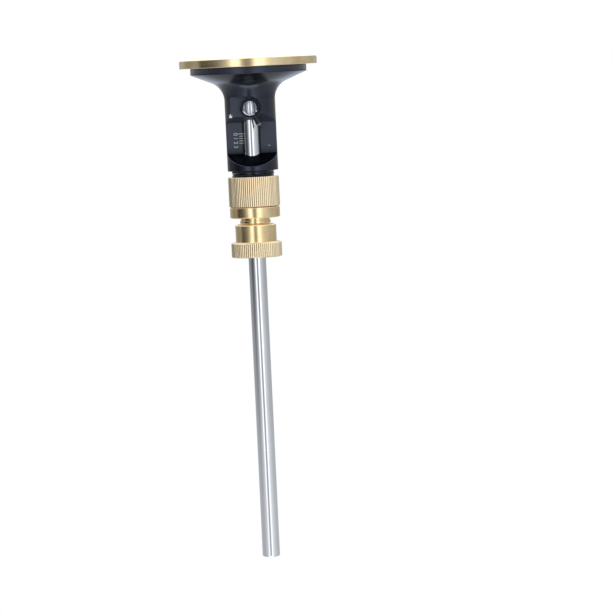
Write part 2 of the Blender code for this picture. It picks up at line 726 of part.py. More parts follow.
def make_clamp_nut():
    """The knurled nut that draws the collet's cone tight on the beam."""
    thread_bore = CARRIER_THREAD_RADIUS + THREAD_GAP
    cone_room = 2 * THREAD_GAP
    cone_start = COLLET_START + SEAT_GAP
    cone_end = COLLET_END + SEAT_GAP
    rear_hole = BEAM_RADIUS + 2 * SEAT_GAP
    profile = chamfered(NUT_GRIP_RADIUS, NUT_SHOULDER, NUT_END, NUT_CHAMFER, NUT_CHAMFER)
    profile += chamfered(NUT_BARREL_RADIUS, NUT_START, NUT_SHOULDER, NUT_CHAMFER, 0)
    profile += [
        (thread_bore, NUT_START),
        (thread_bore, cone_start),
        (COLLET_NOSE_RADIUS + cone_room, cone_end),
        (rear_hole, cone_end),
        (rear_hole, NUT_END),
    ]
    nut = turned("clamp_nut", profile, BODY_FACETS, gauge, nut_pivot)
    knurl = prism(
        "nut_knurl",
        flute_outline(NUT_GRIP_RADIUS, KNURL_DEPTH, KNURL_PITCH),
        NUT_START - OVERCUT,
        NUT_END + OVERCUT,
        cutters,
    )
    keep_inside(nut, knurl)
    dress(nut, brass)


# ================================================================ beam and cutter
def make_beam():
    profile = [(0, BEAM_END)]
    profile += chamfered(BEAM_RADIUS, BEAM_START, BEAM_END, EDGE_BREAK, BEAM_CHAMFER)
    profile += [(0, BEAM_START)]
    beam = turned("beam_rod", profile, SMALL_FACETS, gauge, beam_pivot, closed=False)
    tapped = rod_between(
        "beam_tapped_hole",
        (0, 0, BEAM_START - OVERCUT),
        (0, 0, BEAM_START + CUTTER_SCREW_GRIP + SEAT_GAP),
        CUTTER_SCREW_RADIUS + THREAD_GAP,
        SCREW_FACETS,
        cutters,
    )
    cut(beam, tapped)
    dress(beam, steel)


def make_cutter_wheel():
    """A hardened disc with its bevel on the side of the fence and its hole countersunk in front."""
    seat = CUTTER_SCREW_HEAD_RADIUS + THREAD_GAP
    hole = CUTTER_SCREW_RADIUS + THREAD_GAP
    edge_land = WHEEL_THICKNESS - WHEEL_BEVEL
    profile = [
        (WHEEL_RADIUS - WHEEL_BEVEL, WHEEL_BACK),
        (WHEEL_RADIUS, WHEEL_FRONT + edge_land),
        (WHEEL_RADIUS, WHEEL_FRONT),
        (seat, WHEEL_FRONT),
        (hole, WHEEL_FRONT + seat - hole),
        (hole, WHEEL_BACK),
    ]
    dress(turned("cutter_wheel", profile, SMALL_FACETS, gauge, beam_pivot), tool_steel)


def make_cutter_screw():
    tip = BEAM_START + CUTTER_SCREW_GRIP
    profile = countersunk_profile(CUTTER_SCREW_HEAD_RADIUS, CUTTER_SCREW_RADIUS, WHEEL_FRONT, tip)
    screw = turned("cutter_screw", profile, SCREW_FACETS, gauge, beam_pivot, closed=False)
    lobes = [
        (
            (CUTTER_SCREW_SOCKET_RADIUS + CUTTER_SCREW_SOCKET_LOBE * cos(6 * a)) * cos(a),
            (CUTTER_SCREW_SOCKET_RADIUS + CUTTER_SCREW_SOCKET_LOBE * cos(6 * a)) * sin(a),
        )
        for a in [2 * pi * i / LOBE_STEPS for i in range(LOBE_STEPS)]
    ]
    socket = prism(
        "cutter_socket", lobes, WHEEL_FRONT - OVERCUT, WHEEL_FRONT + CUTTER_SCREW_SOCKET_DEPTH, cutters
    )
    cut(screw, socket)
    dress(screw, steel)


# ================================================================ assembly
clear_scene()
gauge = new_collection("marking_gauge")
cutters = new_collection("cutting_shapes")

brass = finish("turned_brass", (214, 192, 150), 0.3, 1.0)
black = finish("black_anodised", (52, 56, 64), 0.42, 0.6)
black_steel = finish("blackened_steel", (44, 46, 52), 0.35, 0.8)
steel = finish("polished_steel", (214, 216, 222), 0.15, 1.0)
tool_steel = finish("hardened_steel", (188, 190, 196), 0.22, 1.0)
bronze = finish("bearing_bronze", (176, 128, 84), 0.4, 1.0)
rubber = finish("nitrile_rubber", (24, 24, 26), 0.8, 0.0)

head = add_pivot("head_frame", (0, 0, 0))
carrier_pivot = add_pivot("carrier_slide_axis", (0, 0, CARRIER_START), head)
adjuster_pivot = add_pivot("adjuster_turn_axis", (0, 0, RING_START), carrier_pivot)
collet_pivot = add_pivot("collet_slide_axis", (0, 0, COLLET_START), carrier_pivot)
nut_pivot = add_pivot("clamp_nut_axis", (0, 0, NUT_START), collet_pivot)
beam_pivot = add_pivot("beam_slide_axis", (0, 0, BEAM_START), carrier_pivot)
lever_pivot = add_pivot("lock_lever_axis", (0, 0, LOCK_Z), head, (pi / 2, 0, 0))

make_fence()
make_fence_screws()
make_head_body()
make_o_ring()
make_guide_pin()
make_spring()
make_lock()
make_adjuster_ring()
make_retaining_cap()
make_thrust_washer()
make_carrier()
make_collet()
make_clamp_nut()
make_beam()
make_cutter_wheel()
make_cutter_screw()
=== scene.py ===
"""Looks of a wheel marking gauge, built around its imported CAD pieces.

Lengths in the constants are millimetres in the gauge's own frame: +Z runs up the beam from the
fence's face, and the window in the head looks along -Y.
"""

import bmesh
import bpy
import numpy as np
from mathutils import Matrix, Vector


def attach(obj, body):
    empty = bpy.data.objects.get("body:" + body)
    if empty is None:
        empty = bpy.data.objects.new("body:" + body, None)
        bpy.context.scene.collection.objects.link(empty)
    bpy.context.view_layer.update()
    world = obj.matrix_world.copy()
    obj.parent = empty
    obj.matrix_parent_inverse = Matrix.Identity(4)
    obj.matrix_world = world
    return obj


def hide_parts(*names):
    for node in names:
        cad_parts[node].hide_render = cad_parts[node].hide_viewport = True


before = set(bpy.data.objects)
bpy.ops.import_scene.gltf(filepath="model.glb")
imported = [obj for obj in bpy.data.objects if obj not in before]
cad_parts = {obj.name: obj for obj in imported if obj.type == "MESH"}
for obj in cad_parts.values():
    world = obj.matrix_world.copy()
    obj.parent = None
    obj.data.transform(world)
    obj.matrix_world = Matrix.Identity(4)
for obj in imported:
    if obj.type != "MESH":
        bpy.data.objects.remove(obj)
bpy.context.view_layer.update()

MM = 0.001
TURN = 2 * np.pi

# ------------------------------------------------------------------ sizes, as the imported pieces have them
FENCE_RADIUS, FENCE_TOP = 31.2, 3.85
FLANGE_RADIUS, FLANGE_START, RIM_END = 26.3, 3.87, 6.75  # drawn down onto the fence
CONE_FROM_AXIS = np.radians(67.0)
HOLLOW_RADIUS = 9.0
TUBE_RADIUS, TUBE_START, TUBE_END = 11.45, 19.014, 51.013
NECK_RADIUS, NECK_END = 9.7, 59.713
NECK_PITCH, NECK_THREAD_DEPTH, NECK_RELIEF = 1.5, 0.45, 0.8
FLAT_HEIGHT, WINDOW_START, WINDOW_END = 2.0, 29.114, 43.114
FRONT_SLOPE, REAR_SLOPE = 0.54, 0.614
LOCK_Z, POCKET_RADIUS, POCKET_HEIGHT = 22.514, 5.25, 7.1
HUB_RADIUS, HUB_BORE, HUB_FOOT, HUB_TOP = 4.4, 3.05, 4.3, 9.9
LEVER_RADIUS, LEVER_HEIGHT, LEVER_ROOT, LEVER_REACH = 1.15, 8.5, 3.35, 10.4
LEVER_ANGLE = np.radians(116.0)
LEVER_GROOVE_START, LEVER_GROOVE_END, LEVER_GROOVE_DEPTH = LEVER_REACH - 2.0, LEVER_REACH - 1.6, 0.18
BEAM_RADIUS, BEAM_START, BEAM_END = 4.0, 2.9, 226.8
BEAM_BORE, RECESS_RADIUS, RECESS_END = 4.05, 7.6, 6.6
GROOVE_START, GROOVE_END, GROOVE_RADIUS = 9.6, 11.4, 5.35
CARRIER_BORE, CARRIER_BORE_START = 7.6, 47.96
RING_RADIUS, RING_START, RING_END = 11.5, 53.713, 67.163
RING_THREAD_END, RING_RECESS_RADIUS, RING_RECESS_START = 62.313, 8.8, 67.413
SPIGOT_RADIUS, SPIGOT_END = 9.6, 70.413
CAP_RADIUS, CAP_START, CAP_END = 11.3, 67.563, 72.413
CAP_THREAD_RADIUS, CAP_THREAD_END, CAP_HOLE = 9.7, 70.713, 7.1
CARRIER_RADIUS, CARRIER_START, CARRIER_END, CARRIER_HOLE = 7.5, 54.457, 82.013, 4.1
CARRIER_FLANGE_RADIUS, CARRIER_FLANGE_START, CARRIER_FLANGE_END = 8.6, 68.613, 70.413
CARRIER_NECK, CARRIER_THREAD = 6.6, 6.2
LIP_RADIUS, LIP_START, LIP_END = 6.95, 73.613, 74.913
KEYWAY_WIDTH, KEYWAY_FLOOR, KEYWAY_END = 1.9, 5.55, 62.557
NUT_BARREL, NUT_GRIP, NUT_START, NUT_SHOULDER, NUT_END = 9.3, 11.45, 75.213, 83.463, 90.213
NUT_THREAD, NUT_THREAD_END, NUT_HOLE = 6.3, 82.613, 4.6
NUT_CONE_RADIUS, NUT_CONE_END = 4.95, 88.713
KNURL_PITCH, KNURL_DEPTH = 1.0, 0.3
SCREW_CIRCLE, SCREW_HOLE, SINK_RADIUS, SINK_START = 16.0, 1.55, 2.9, 0.25
WHEEL_RADIUS, WHEEL_FACE, WHEEL_BACK_RADIUS, WHEEL_BACK = 6.9, 1.0, 5.4, 2.6
WHEEL_SINK, WHEEL_HOLE, WHEEL_SCREW_END = 2.5, 1.45, 9.2

# ------------------------------------------------------------------ details that only the finer pieces have
EDGE_CHAMFER = 0.35
SLOPE_STEP = 0.1  # between the rows that follow the window's slopes
EDGE_BLEND = 0.3  # over which the window's floor meets the turned wall
FAR_OUT = 60.0  # past everything that is turned
PAST = 2.0  # by which a cutting tool stands out of what it cuts
CAP_EDGE, CAP_STEP_RADIUS = CAP_START + 0.1, 10.95
TICKS, TICK_START, TICK_STEP, TICK_WIDTH = 5, 34.15, 1.06, 0.22
TICK_NEAR, TICK_FAR, LONG_TICK_FAR = 3.75, 5.5, 5.9
NUMBERS, NUMBER_START, NUMBER_STEP, NUMBER_SIZE, NUMBER_X = 4, 34.3, 1.9, 2.6, 7.2
SCALE_LIFT, SCALE_DEPTH = 0.03, 0.06

SHARP_ANGLE = np.radians(38.0)
WELD = 1e-7  # metres
SHADE_GUARD = 0.05


# ------------------------------------------------------------------ surfaces
def add_piece(name, mesh, material, body, slot, *nodes):
    """Links a finished mesh as a piece that rides on a body and stands for its CAD nodes."""
    piece = bpy.data.objects.new(name, mesh)
    bpy.context.scene.collection.objects.link(piece)
    mesh.materials.clear()
    mesh.materials.append(material)
    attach(piece, body)
    if nodes:
        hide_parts(*nodes)
    return piece


def settle(mesh):
    """Closes poles and seams, turns every face outwards, and shades smooth with crisp edges."""
    cage = bmesh.new()
    cage.from_mesh(mesh)
    bmesh.ops.remove_doubles(cage, verts=cage.verts, dist=WELD)
    bmesh.ops.dissolve_degenerate(cage, edges=cage.edges, dist=WELD)
    bmesh.ops.recalc_face_normals(cage, faces=cage.faces)
    cage.to_mesh(mesh)
    cage.free()
    mesh.shade_smooth()
    mesh.set_sharp_from_angle(angle=SHARP_ANGLE)
    return mesh


def grid_mesh(name, points, join_rows=True):
    """Quads over a (rows, columns, 3) array in millimetres. Columns always join end to end, and rows do
    so unless told not to."""
    rows, columns = points.shape[:2]
    i = np.arange(rows if join_rows else rows - 1)[:, None]
    j = np.arange(columns)[None, :]
    below, beside = (i + 1) % rows, (j + 1) % columns
    corners = [i * columns + j, i * columns + beside, below * columns + beside, below * columns + j]
    quads = np.stack(np.broadcast_arrays(*corners), -1).reshape(-1, 4).astype(np.int32)
    mesh = bpy.data.meshes.new(name)
    mesh.vertices.add(rows * columns)
    mesh.vertices.foreach_set("co", (points * MM).astype(np.float32).ravel())
    mesh.loops.add(quads.size)
    mesh.loops.foreach_set("vertex_index", quads.ravel())
    mesh.polygons.add(len(quads))
    mesh.polygons.foreach_set("loop_start", np.arange(0, quads.size, 4, dtype=np.int32))
    mesh.update(calc_edges=True)
    return settle(mesh)


def softened(corners, radius, steps=4):
    """An outline with its corners rounded. Each corner gives way to a quadratic curve between the points
    that lie radius, or two fifths of the shorter side, before and after it; a corner on the axis stays.
    One more point on each side, a hair away, keeps the rounding out of the flat side's shading."""
    p = np.asarray(corners, float)
    before, after = np.roll(p, 1, 0) - p, np.roll(p, -1, 0) - p
    before_length = np.linalg.norm(before, axis=1, keepdims=True)
    after_length = np.linalg.norm(after, axis=1, keepdims=True)
    reach = np.minimum(radius, 0.4 * np.minimum(before_length, after_length))
    reach = np.where(p[:, :1] == 0, 0, reach)
    start, end = p + before / before_length * reach, p + after / after_length * reach
    t = np.linspace(0, 1, steps + 1)[None, :, None]
    curve = (1 - t) ** 2 * start[:, None] + 2 * t * (1 - t) * p[:, None] + t**2 * end[:, None]
    hair = np.minimum(SHADE_GUARD, 0.05 * np.minimum(before_length, after_length))
    first, last = start + before / before_length * hair, end + after / after_length * hair
    return np.concatenate([first[:, None], curve, last[:, None]], 1).reshape(-1, 2)


def turned(name, outline, columns=160, shape=None):
    """A turned shape: radius and height run along a closed outline, the angle runs round the beam's axis,
    and shape, if given, works out the radius anew from radius, height and angle."""
    outline = np.asarray(outline, float)
    radius, height = outline[:, :1], outline[:, 1:]
    angle = np.arange(columns)[None, :] * TURN / columns
    radius = radius + 0 * angle
    if shape:
        radius = shape(radius, height, angle)
    points = np.stack([radius * np.cos(angle), radius * np.sin(angle), height + 0 * angle], -1)
    return grid_mesh(name, points)


def grid_box(name, low, high):
    """A box as a square carried between two levels and drawn in to a point at each end."""
    low, high = np.array(low), np.array(high)
    middle = (low + high) / 2
    x = np.array([low[0], high[0], high[0], low[0]])
    y = np.array([low[1], low[1], high[1], high[1]])
    share = np.array([0, 1, 1, 0])[:, None]
    level = np.array([low[2], low[2], high[2], high[2]])[:, None] + 0 * x
    points = np.stack([middle[0] + (x - middle[0]) * share, middle[1] + (y - middle[1]) * share, level], -1)
    return grid_mesh(name, points)


def placed(mesh, matrix):
    """Carries a mesh to its place, given in metres."""
    mesh.transform(matrix)
    return mesh


def carved(name, blank, tools):
    """The blank less each tool, as one settled mesh."""
    body = bpy.data.objects.new(name + "_blank", blank)
    bpy.context.scene.collection.objects.link(body)
    helpers = [body]
    for tool in tools:
        helper = bpy.data.objects.new(name + "_tool", tool)
        bpy.context.scene.collection.objects.link(helper)
        helpers.append(helper)
        cut = body.modifiers.new("Cut", "BOOLEAN")
        cut.operation = "DIFFERENCE"
        cut.solver = "EXACT"
        cut.object = helper
    bpy.context.view_layer.update()
    graph = bpy.context.evaluated_depsgraph_get()
    mesh = bpy.data.meshes.new_from_object(body.evaluated_get(graph))
    for helper in helpers:
        bpy.data.objects.remove(helper)
    mesh.name = name
    return settle(mesh)


def facing_window(height):
    """Turns +Z to -Y about the lock's axis, for shapes drawn looking into the window."""
    return Matrix.Translation((0, 0, height * MM)) @ Matrix.Rotation(np.pi / 2, 4, "X")


def flutes(radius):
    """Straight knurling: rounded ribs, whose radius falls with the square of the way from crest to root, and
    a narrow nick along each root."""
    count = round(TURN * radius / KNURL_PITCH)

    def shape(r, height, angle):
        way = np.abs((angle * count / TURN) % 1 * 2 - 1)
        return np.minimum(r, radius - KNURL_DEPTH * (0.7 * way**2 + 0.3 * np.clip(way * 5 - 4, 0, 1)))

    return shape, count


def threaded(major, pitch, depth):
    """A screw thread: the radius follows a rounded V that climbs one pitch in each turn. Only the rows that
    lie on the major radius are cut."""

    def shape(r, height, angle):
        phase = (height / pitch - angle / TURN) % 1
        ridge = major - depth * (0.5 + 0.5 * np.cos(TURN * phase)) ** 0.8
        return np.where(r > major - 0.01, ridge, r)

    return shape


def fine_rows(outline, step):
    """Adds rows along an outline so that none of its sides is longer than step."""
    points = np.asarray(outline, float)
    ways = np.roll(points, -1, 0) - points
    counts = np.maximum(np.ceil(np.linalg.norm(ways, axis=1) / step), 1).astype(int)
    sides = zip(points, ways, counts)
    return np.concatenate([point + way * np.arange(count)[:, None] / count for point, way, count in sides])


# ------------------------------------------------------------------ material parts
def start(name, roughness, metallic):
    """A new material, its tree and its shader."""
    material = bpy.data.materials.new(name)
    material.use_nodes = True
    shader = material.node_tree.nodes["Principled BSDF"]
    shader.inputs["Roughness"].default_value = roughness
    shader.inputs["Metallic"].default_value = metallic
    return material, material.node_tree, shader


def add(tree, kind, wires=(), **settings):
    """A node with its settings made, its inputs filled by number, and the wires led into them."""
    node = tree.nodes.new(kind)
    for key, value in settings.items():
        setattr(node, key, value)
    for slot, value in dict(wires).items():
        if isinstance(value, bpy.types.NodeSocket):
            tree.links.new(value, node.inputs[slot])
        else:
            node.inputs[slot].default_value = value
    return node


def place_of(tree):
    """The place on the gauge, in metres."""
    return add(tree, "ShaderNodeTexCoord").outputs["Object"]


def stretched(tree, scale, offset=(0, 0, 0)):
    """The place, scaled on each axis and then moved."""
    mapping = add(tree, "ShaderNodeMapping", {"Vector": place_of(tree), "Scale": scale, "Location": offset})
    return mapping.outputs["Vector"]


def times(tree, value, factor):
    return add(tree, "ShaderNodeMath", {0: value, 1: factor}, operation="MULTIPLY").outputs[0]


def plus(tree, one, other):
    return add(tree, "ShaderNodeMath", {0: one, 1: other}, operation="ADD").outputs[0]


def larger(tree, one, other):
    return add(tree, "ShaderNodeMath", {0: one, 1: other}, operation="MAXIMUM").outputs[0]


def parts_of(tree):
    """The three coordinates of the place."""
    return add(tree, "ShaderNodeSeparateXYZ", {0: place_of(tree)}).outputs


def length_of(tree, vector):
    return add(tree, "ShaderNodeVectorMath", {0: vector}, operation="LENGTH").outputs["Value"]


def radius_of(tree):
    """How far the place lies from the beam's axis, in metres."""
    parts = parts_of(tree)
    return length_of(tree, add(tree, "ShaderNodeCombineXYZ", {0: parts[0], 1: parts[1]}).outputs[0])


def height_of(tree):
    return parts_of(tree)[2]


def about_lock(tree):
    """How far the place lies from the lock's axis, and where it lies along that axis, in metres."""
    across = stretched(tree, (1, 0, 1), (0, 0, -LOCK_Z * MM))
    return length_of(tree, across), parts_of(tree)[1]


def round_axis(tree, across, around):
    """Coordinates that make rings about the beam's axis: radius and height change fast, angle slowly."""
    parts = parts_of(tree)
    rise = plus(tree, times(tree, parts[2], across), times(tree, parts[1], around))
    wires = {0: times(tree, radius_of(tree), across), 1: times(tree, parts[0], around), 2: rise}
    return add(tree, "ShaderNodeCombineXYZ", wires).outputs[0]


def noise(tree, scale, vector=None, detail=4.0, roughness=0.55):
    wires = {"Scale": scale, "Detail": detail, "Roughness": roughness}
    wires["Vector"] = vector if vector else place_of(tree)
    return add(tree, "ShaderNodeTexNoise", wires).outputs["Fac"]


def spread(tree, value, low, high, to_low=0.0, to_high=1.0):
    """Carries low to to_low and high to to_high, evenly in between and level outside."""
    wires = {"Value": value, "From Min": low, "From Max": high, "To Min": to_low, "To Max": to_high}
    return add(tree, "ShaderNodeMapRange", wires).outputs["Result"]


def ramp(tree, length, none, full):
    """0 where a length in metres is none millimetres, 1 where it is full, and even in between."""
    return spread(tree, length, none * MM, full * MM)


def blend(tree, factor, one, other):
    """The first colour where factor is 0 and the second where it is 1."""
    node = add(tree, "ShaderNodeMix", data_type="RGBA")
    for socket, value in zip((node.inputs[0], node.inputs[6], node.inputs[7]), (factor, one, other)):
        if isinstance(value, bpy.types.NodeSocket):
            tree.links.new(value, socket)
        else:
            socket.default_value = (*value, 1) if isinstance(value, tuple) else value
    return node.outputs[2]


def edges(tree, low, high):
    """1 on outer edges, 0 elsewhere, from how far the surface bends outwards."""
    return spread(tree, add(tree, "ShaderNodeNewGeometry").outputs["Pointiness"], low, high)


def sharp_edges(tree, width):
    """1 where an edge turns, from how far a normal rounded off over a width in millimetres leans away from
    the true one."""
    true = add(tree, "ShaderNodeNewGeometry").outputs["Normal"]
    eased = add(tree, "ShaderNodeBevel", {"Radius": width * MM}, samples=6).outputs["Normal"]
    same = add(tree, "ShaderNodeVectorMath", {0: true, 1: eased}, operation="DOT_PRODUCT").outputs["Value"]
    return spread(tree, same, 0.97, 0.88)


def feed(tree, shader, **values):
    """Leads each value into the shader's input of that name, written with _ for a space."""
    for slot, value in values.items():
        tree.links.new(value, shader.inputs[slot.replace("_", " ")])


def roughen(tree, shader, height, strength, distance, also=None):
    """Bumps the surface by up to a distance in metres, on top of the normal also, if that is given."""
    wires = {"Height": height, "Strength": strength, "Distance": distance}
    if also:
        wires["Normal"] = also
    normal = add(tree, "ShaderNodeBump", wires).outputs["Normal"]
    tree.links.new(normal, shader.inputs["Normal"])
    return normal


def linear(red, green, blue):
    """A screen colour, each channel 0 to 255, as the linear colour that a shader takes."""
    share = np.array([red, green, blue]) / 255
    low, high = share / 12.92, ((share + 0.055) / 1.055) ** 2.4
    return tuple(float(v) for v in np.where(share <= 0.04045, low, high))


# ------------------------------------------------------------------ finishes
def turned_brass(name, roughness, tones, knurl=None, seam=None):
    """Brass from the lathe: rings of tool marks, drifting tone, duller patches, brighter edges, darker roots
    where it is knurled, and painted shade on the side of a seam that lies nearer the fence."""
    material, tree, shader = start(name, roughness, 1.0)
    rings = noise(tree, 1.0, round_axis(tree, 5200, 60), detail=3.0)
    patches = noise(tree, 150, detail=3.0, roughness=0.5)
    tone = blend(tree, spread(tree, patches, 0.3, 0.7), tones[0], tones[1])
    tone = blend(tree, times(tree, spread(tree, rings, 0.3, 0.75), 0.3), tone, tones[2])
    if knurl:
        radius = radius_of(tree)
        root = ramp(tree, radius, knurl - 0.11, knurl - 0.27)
        ribbed = ramp(tree, radius, knurl - 0.5, knurl - 0.4)
        tone = blend(tree, times(tree, ribbed, 0.8), tone, BRASS_CREST)
        # darker towards the roots of the ribs, more so in patches
        darker_roots = times(tree, times(tree, root, ribbed), spread(tree, patches, 0.35, 0.65, 0.5, 0.95))
        tone = blend(tree, darker_roots, tone, BRASS_ROOT)
    tone = blend(tree, times(tree, edges(tree, 0.53, 0.62), 0.5), tone, tones[2])
    if seam:
        # painted shade: the cap's face below the seam is darkened, standing for the shadow in the gap
        seam_shade = ramp(tree, height_of(tree), seam + 0.04, seam)
        tone = blend(tree, times(tree, seam_shade, 0.9), tone, BRASS_ROOT)
    grain = noise(tree, 2600, detail=2.0)
    mix = plus(tree, times(tree, patches, 0.5), times(tree, grain, 0.5))
    skin = spread(tree, mix, 0.3, 0.7, roughness * 0.85, roughness * 1.15)
    feed(tree, shader, Base_Color=tone, Roughness=skin)
    roughen(tree, shader, rings, 0.05, 0.00001)
    return material


def nick(tree, centre, size):
    """1 within a ragged spot, whose centre and size are in millimetres."""
    gap = length_of(tree, stretched(tree, (1, 1, 1), tuple(-v * MM for v in centre)))
    ragged = plus(tree, gap, times(tree, noise(tree, 1900, detail=1.0), 0.0021))
    return ramp(tree, ragged, size + 0.1, size)


def black_anodised(name):
    """Blue-black anodised aluminium: a dark skin over metal, smoother where it was turned than where it was
    machined, painted paler as painted light on the window's machined floor and darkened by painted shade over
    its last few millimetres before the rear slope, darkened by painted shade beside the bar and on the slope
    far from the fence, paler where its outer edges turn, partly wear and partly a painted highlight, bare at
    the bottom of the lock's well, and nicked to the metal in two places."""
    material, tree, shader = start(name, 0.25, 0.0)
    shader.inputs["IOR"].default_value = 1.66
    shader.inputs["Specular Tint"].default_value = (0.62, 0.72, 1.0, 1)
    cloud = noise(tree, 140, detail=4.0)
    rings = noise(tree, 1.0, round_axis(tree, 3800, 40), detail=2.0)
    radius, height = radius_of(tree), height_of(tree)
    inside = ramp(tree, radius, TUBE_RADIUS - 0.05, TUBE_RADIUS - 0.15)
    outside = ramp(tree, radius, TUBE_RADIUS - 0.2, TUBE_RADIUS - 0.08)
    # painted light: the machined floor and pocket take a paler tone, and painted shade fades it back to dark
    # over the last 3.5 mm before the rear slope; the same mask also makes these surfaces rougher
    milled_painted_light = times(tree, inside, ramp(tree, height, WINDOW_END, WINDOW_END - 3.5))
    tone = blend(tree, spread(tree, cloud, 0.3, 0.72), ANODISED_DEEP, ANODISED_PALE)
    tone = blend(tree, milled_painted_light, tone, ANODISED_PAINTED_LIGHT)

    # partly edge wear, partly a painted highlight: the outer edges take a paler tone
    edge_wear_and_highlight = times(tree, sharp_edges(tree, 0.22), outside)
    edge_wear_and_highlight = times(tree, edge_wear_and_highlight, spread(tree, cloud, 0.35, 0.6, 0.3, 1.0))
    tone = blend(tree, times(tree, edge_wear_and_highlight, 0.8), tone, ANODISED_WEAR_HIGHLIGHT)

    # painted shade: beside the bar and on the slope far from the fence, the skin is darkened and made more
    # mirror-like
    beside_bar = ramp(tree, radius, BEAM_RADIUS + 0.9, BEAM_RADIUS + 0.35)
    rear_slope = times(tree, inside, ramp(tree, height, WINDOW_END, WINDOW_END + 0.4))
    on_tube = ramp(tree, height, TUBE_END - 0.3, TUBE_END - 0.4)
    painted_shade = larger(tree, beside_bar, times(tree, rear_slope, times(tree, on_tube, 0.85)))
    tone = blend(tree, times(tree, painted_shade, 0.85), tone, ANODISED_DEEP)

    far, along = about_lock(tree)
    in_well = ramp(tree, far, HUB_RADIUS + 0.3, HUB_RADIUS + 0.2)
    well = times(tree, in_well, ramp(tree, along, -WELL_FLOOR - 0.1, -WELL_FLOOR))
    well = times(tree, well, ramp(tree, along, BEAM_BORE + 0.6, BEAM_BORE + 0.5))
    nicks = larger(tree, nick(tree, *BARE_NICK), times(tree, nick(tree, *SMALL_NICK), 0.5))
    bare = larger(tree, nicks, well)
    metal = plus(tree, times(tree, bare, 0.5), times(tree, painted_shade, 0.7))

    grain = noise(tree, 7000, detail=2.0)
    share = plus(tree, times(tree, cloud, 0.35), times(tree, plus(tree, rings, grain), 0.325))
    skin = plus(tree, spread(tree, share, 0.3, 0.7, 0.17, 0.24), times(tree, milled_painted_light, 0.2))
    feed(tree, shader, Base_Color=blend(tree, bare, tone, BARE_ALUMINIUM), Metallic=metal, Roughness=skin)
    dents = roughen(tree, shader, noise(tree, 1400, detail=1.0), 0.0, 0.0004)
    tree.links.new(bare, dents.node.inputs["Strength"])
    roughen(tree, shader, grain, 0.1, 0.00002, dents)
    return material


def ground_steel(name, roughness, across=7000, streak=35):
    """Bright ground steel: hair-fine rings from the wheel, faint stains and tiny scratches along the bar."""
    material, tree, shader = start(name, roughness, 1.0)
    rings = noise(tree, 1.0, round_axis(tree, across, streak), detail=3.0)
    stain = noise(tree, 90, stretched(tree, (1, 1, 0.3)), detail=4.0)
    scratch = noise(tree, 1.0, stretched(tree, (5200, 5200, 120)), detail=2.0)
    tone = blend(tree, spread(tree, stain, 0.3, 0.7), STEEL_DEEP, STEEL_PALE)
    tone = blend(tree, times(tree, edges(tree, 0.54, 0.64), 0.5), tone, STEEL_BRIGHT)
    mix = plus(tree, times(tree, stain, 0.6), times(tree, scratch, 0.4))
    skin = spread(tree, mix, 0.3, 0.7, roughness * 0.85, roughness * 1.2)
    feed(tree, shader, Base_Color=tone, Roughness=skin)
    roughen(tree, shader, plus(tree, rings, times(tree, scratch, 0.5)), 0.06, 0.000006)
    return material


def lock_steel(name):
    """Oil-blackened steel with a glossy skin, grey on its edges from wear, a pale band round the lever's
    groove as a painted highlight, bare bright metal in the hub's bore, and painted glints as patches of bare
    metal on the side of its rim far from the fence."""
    material, tree, shader = start(name, 0.12, 0.0)
    shader.inputs["IOR"].default_value = 1.45
    shader.inputs["Specular Tint"].default_value = (0.70, 0.80, 1.0, 1)
    cloud = noise(tree, 420, detail=5.0)
    tone = blend(tree, spread(tree, cloud, 0.35, 0.7), BLACKENED_DEEP, BLACKENED_PALE)

    far, along = about_lock(tree)
    in_bore = ramp(tree, far, HUB_BORE + 0.12, HUB_BORE + 0.06)
    bore = times(tree, in_bore, ramp(tree, along, -(HUB_TOP - 0.35), -(HUB_TOP - 0.5)))
    # painted glints: patches of bare metal on the bore's rim, on the side far from the fence
    lip = times(tree, ramp(tree, far, HUB_BORE + 0.5, HUB_BORE + 0.4), spread(tree, cloud, 0.42, 0.5))
    lip = times(tree, lip, ramp(tree, height_of(tree), LOCK_Z + 1.0, LOCK_Z + 1.6))
    # painted highlight: a pale band round the lever's groove, standing for the light bar near its tip
    past_start = ramp(tree, far, LEVER_GROOVE_START - 0.2, LEVER_GROOVE_START - 0.1)
    before_end = ramp(tree, far, LEVER_GROOVE_END + 0.2, LEVER_GROOVE_END + 0.1)
    groove = times(tree, times(tree, past_start, before_end), 0.28)
    wear_and_glints = times(tree, sharp_edges(tree, 0.12), spread(tree, cloud, 0.38, 0.52, 0.25, 1.0))
    wear_and_glints = larger(tree, larger(tree, wear_and_glints, groove), lip)
    tone = blend(tree, larger(tree, bore, wear_and_glints), tone, STEEL_PALE)
    metal = plus(tree, times(tree, bore, 0.35), times(tree, wear_and_glints, 0.6))

    grain = noise(tree, 6000, detail=2.0)
    mix = plus(tree, times(tree, cloud, 0.5), times(tree, grain, 0.5))
    skin = plus(tree, spread(tree, mix, 0.3, 0.7, 0.09, 0.16), times(tree, bore, 0.15))
    feed(tree, shader, Base_Color=tone, Metallic=metal, Roughness=skin)
    roughen(tree, shader, grain, 0.1, 0.00001)
    return material


def bearing_bronze(name):
    """Porous bronze: redder spots, fine pits and a dull skin."""
    material, tree, shader = start(name, 0.4, 1.0)
    cloud = noise(tree, 700, detail=6.0)
    tone = blend(tree, spread(tree, cloud, 0.35, 0.65), linear(150, 98, 62), linear(206, 156, 106))
    tone = blend(tree, times(tree, edges(tree, 0.53, 0.62), 0.6), tone, linear(228, 184, 138))
    feed(tree, shader, Base_Color=tone, Roughness=spread(tree, cloud, 0.3, 0.7, 0.33, 0.5))
    roughen(tree, shader, cloud, 0.2, 0.00003)
    return material


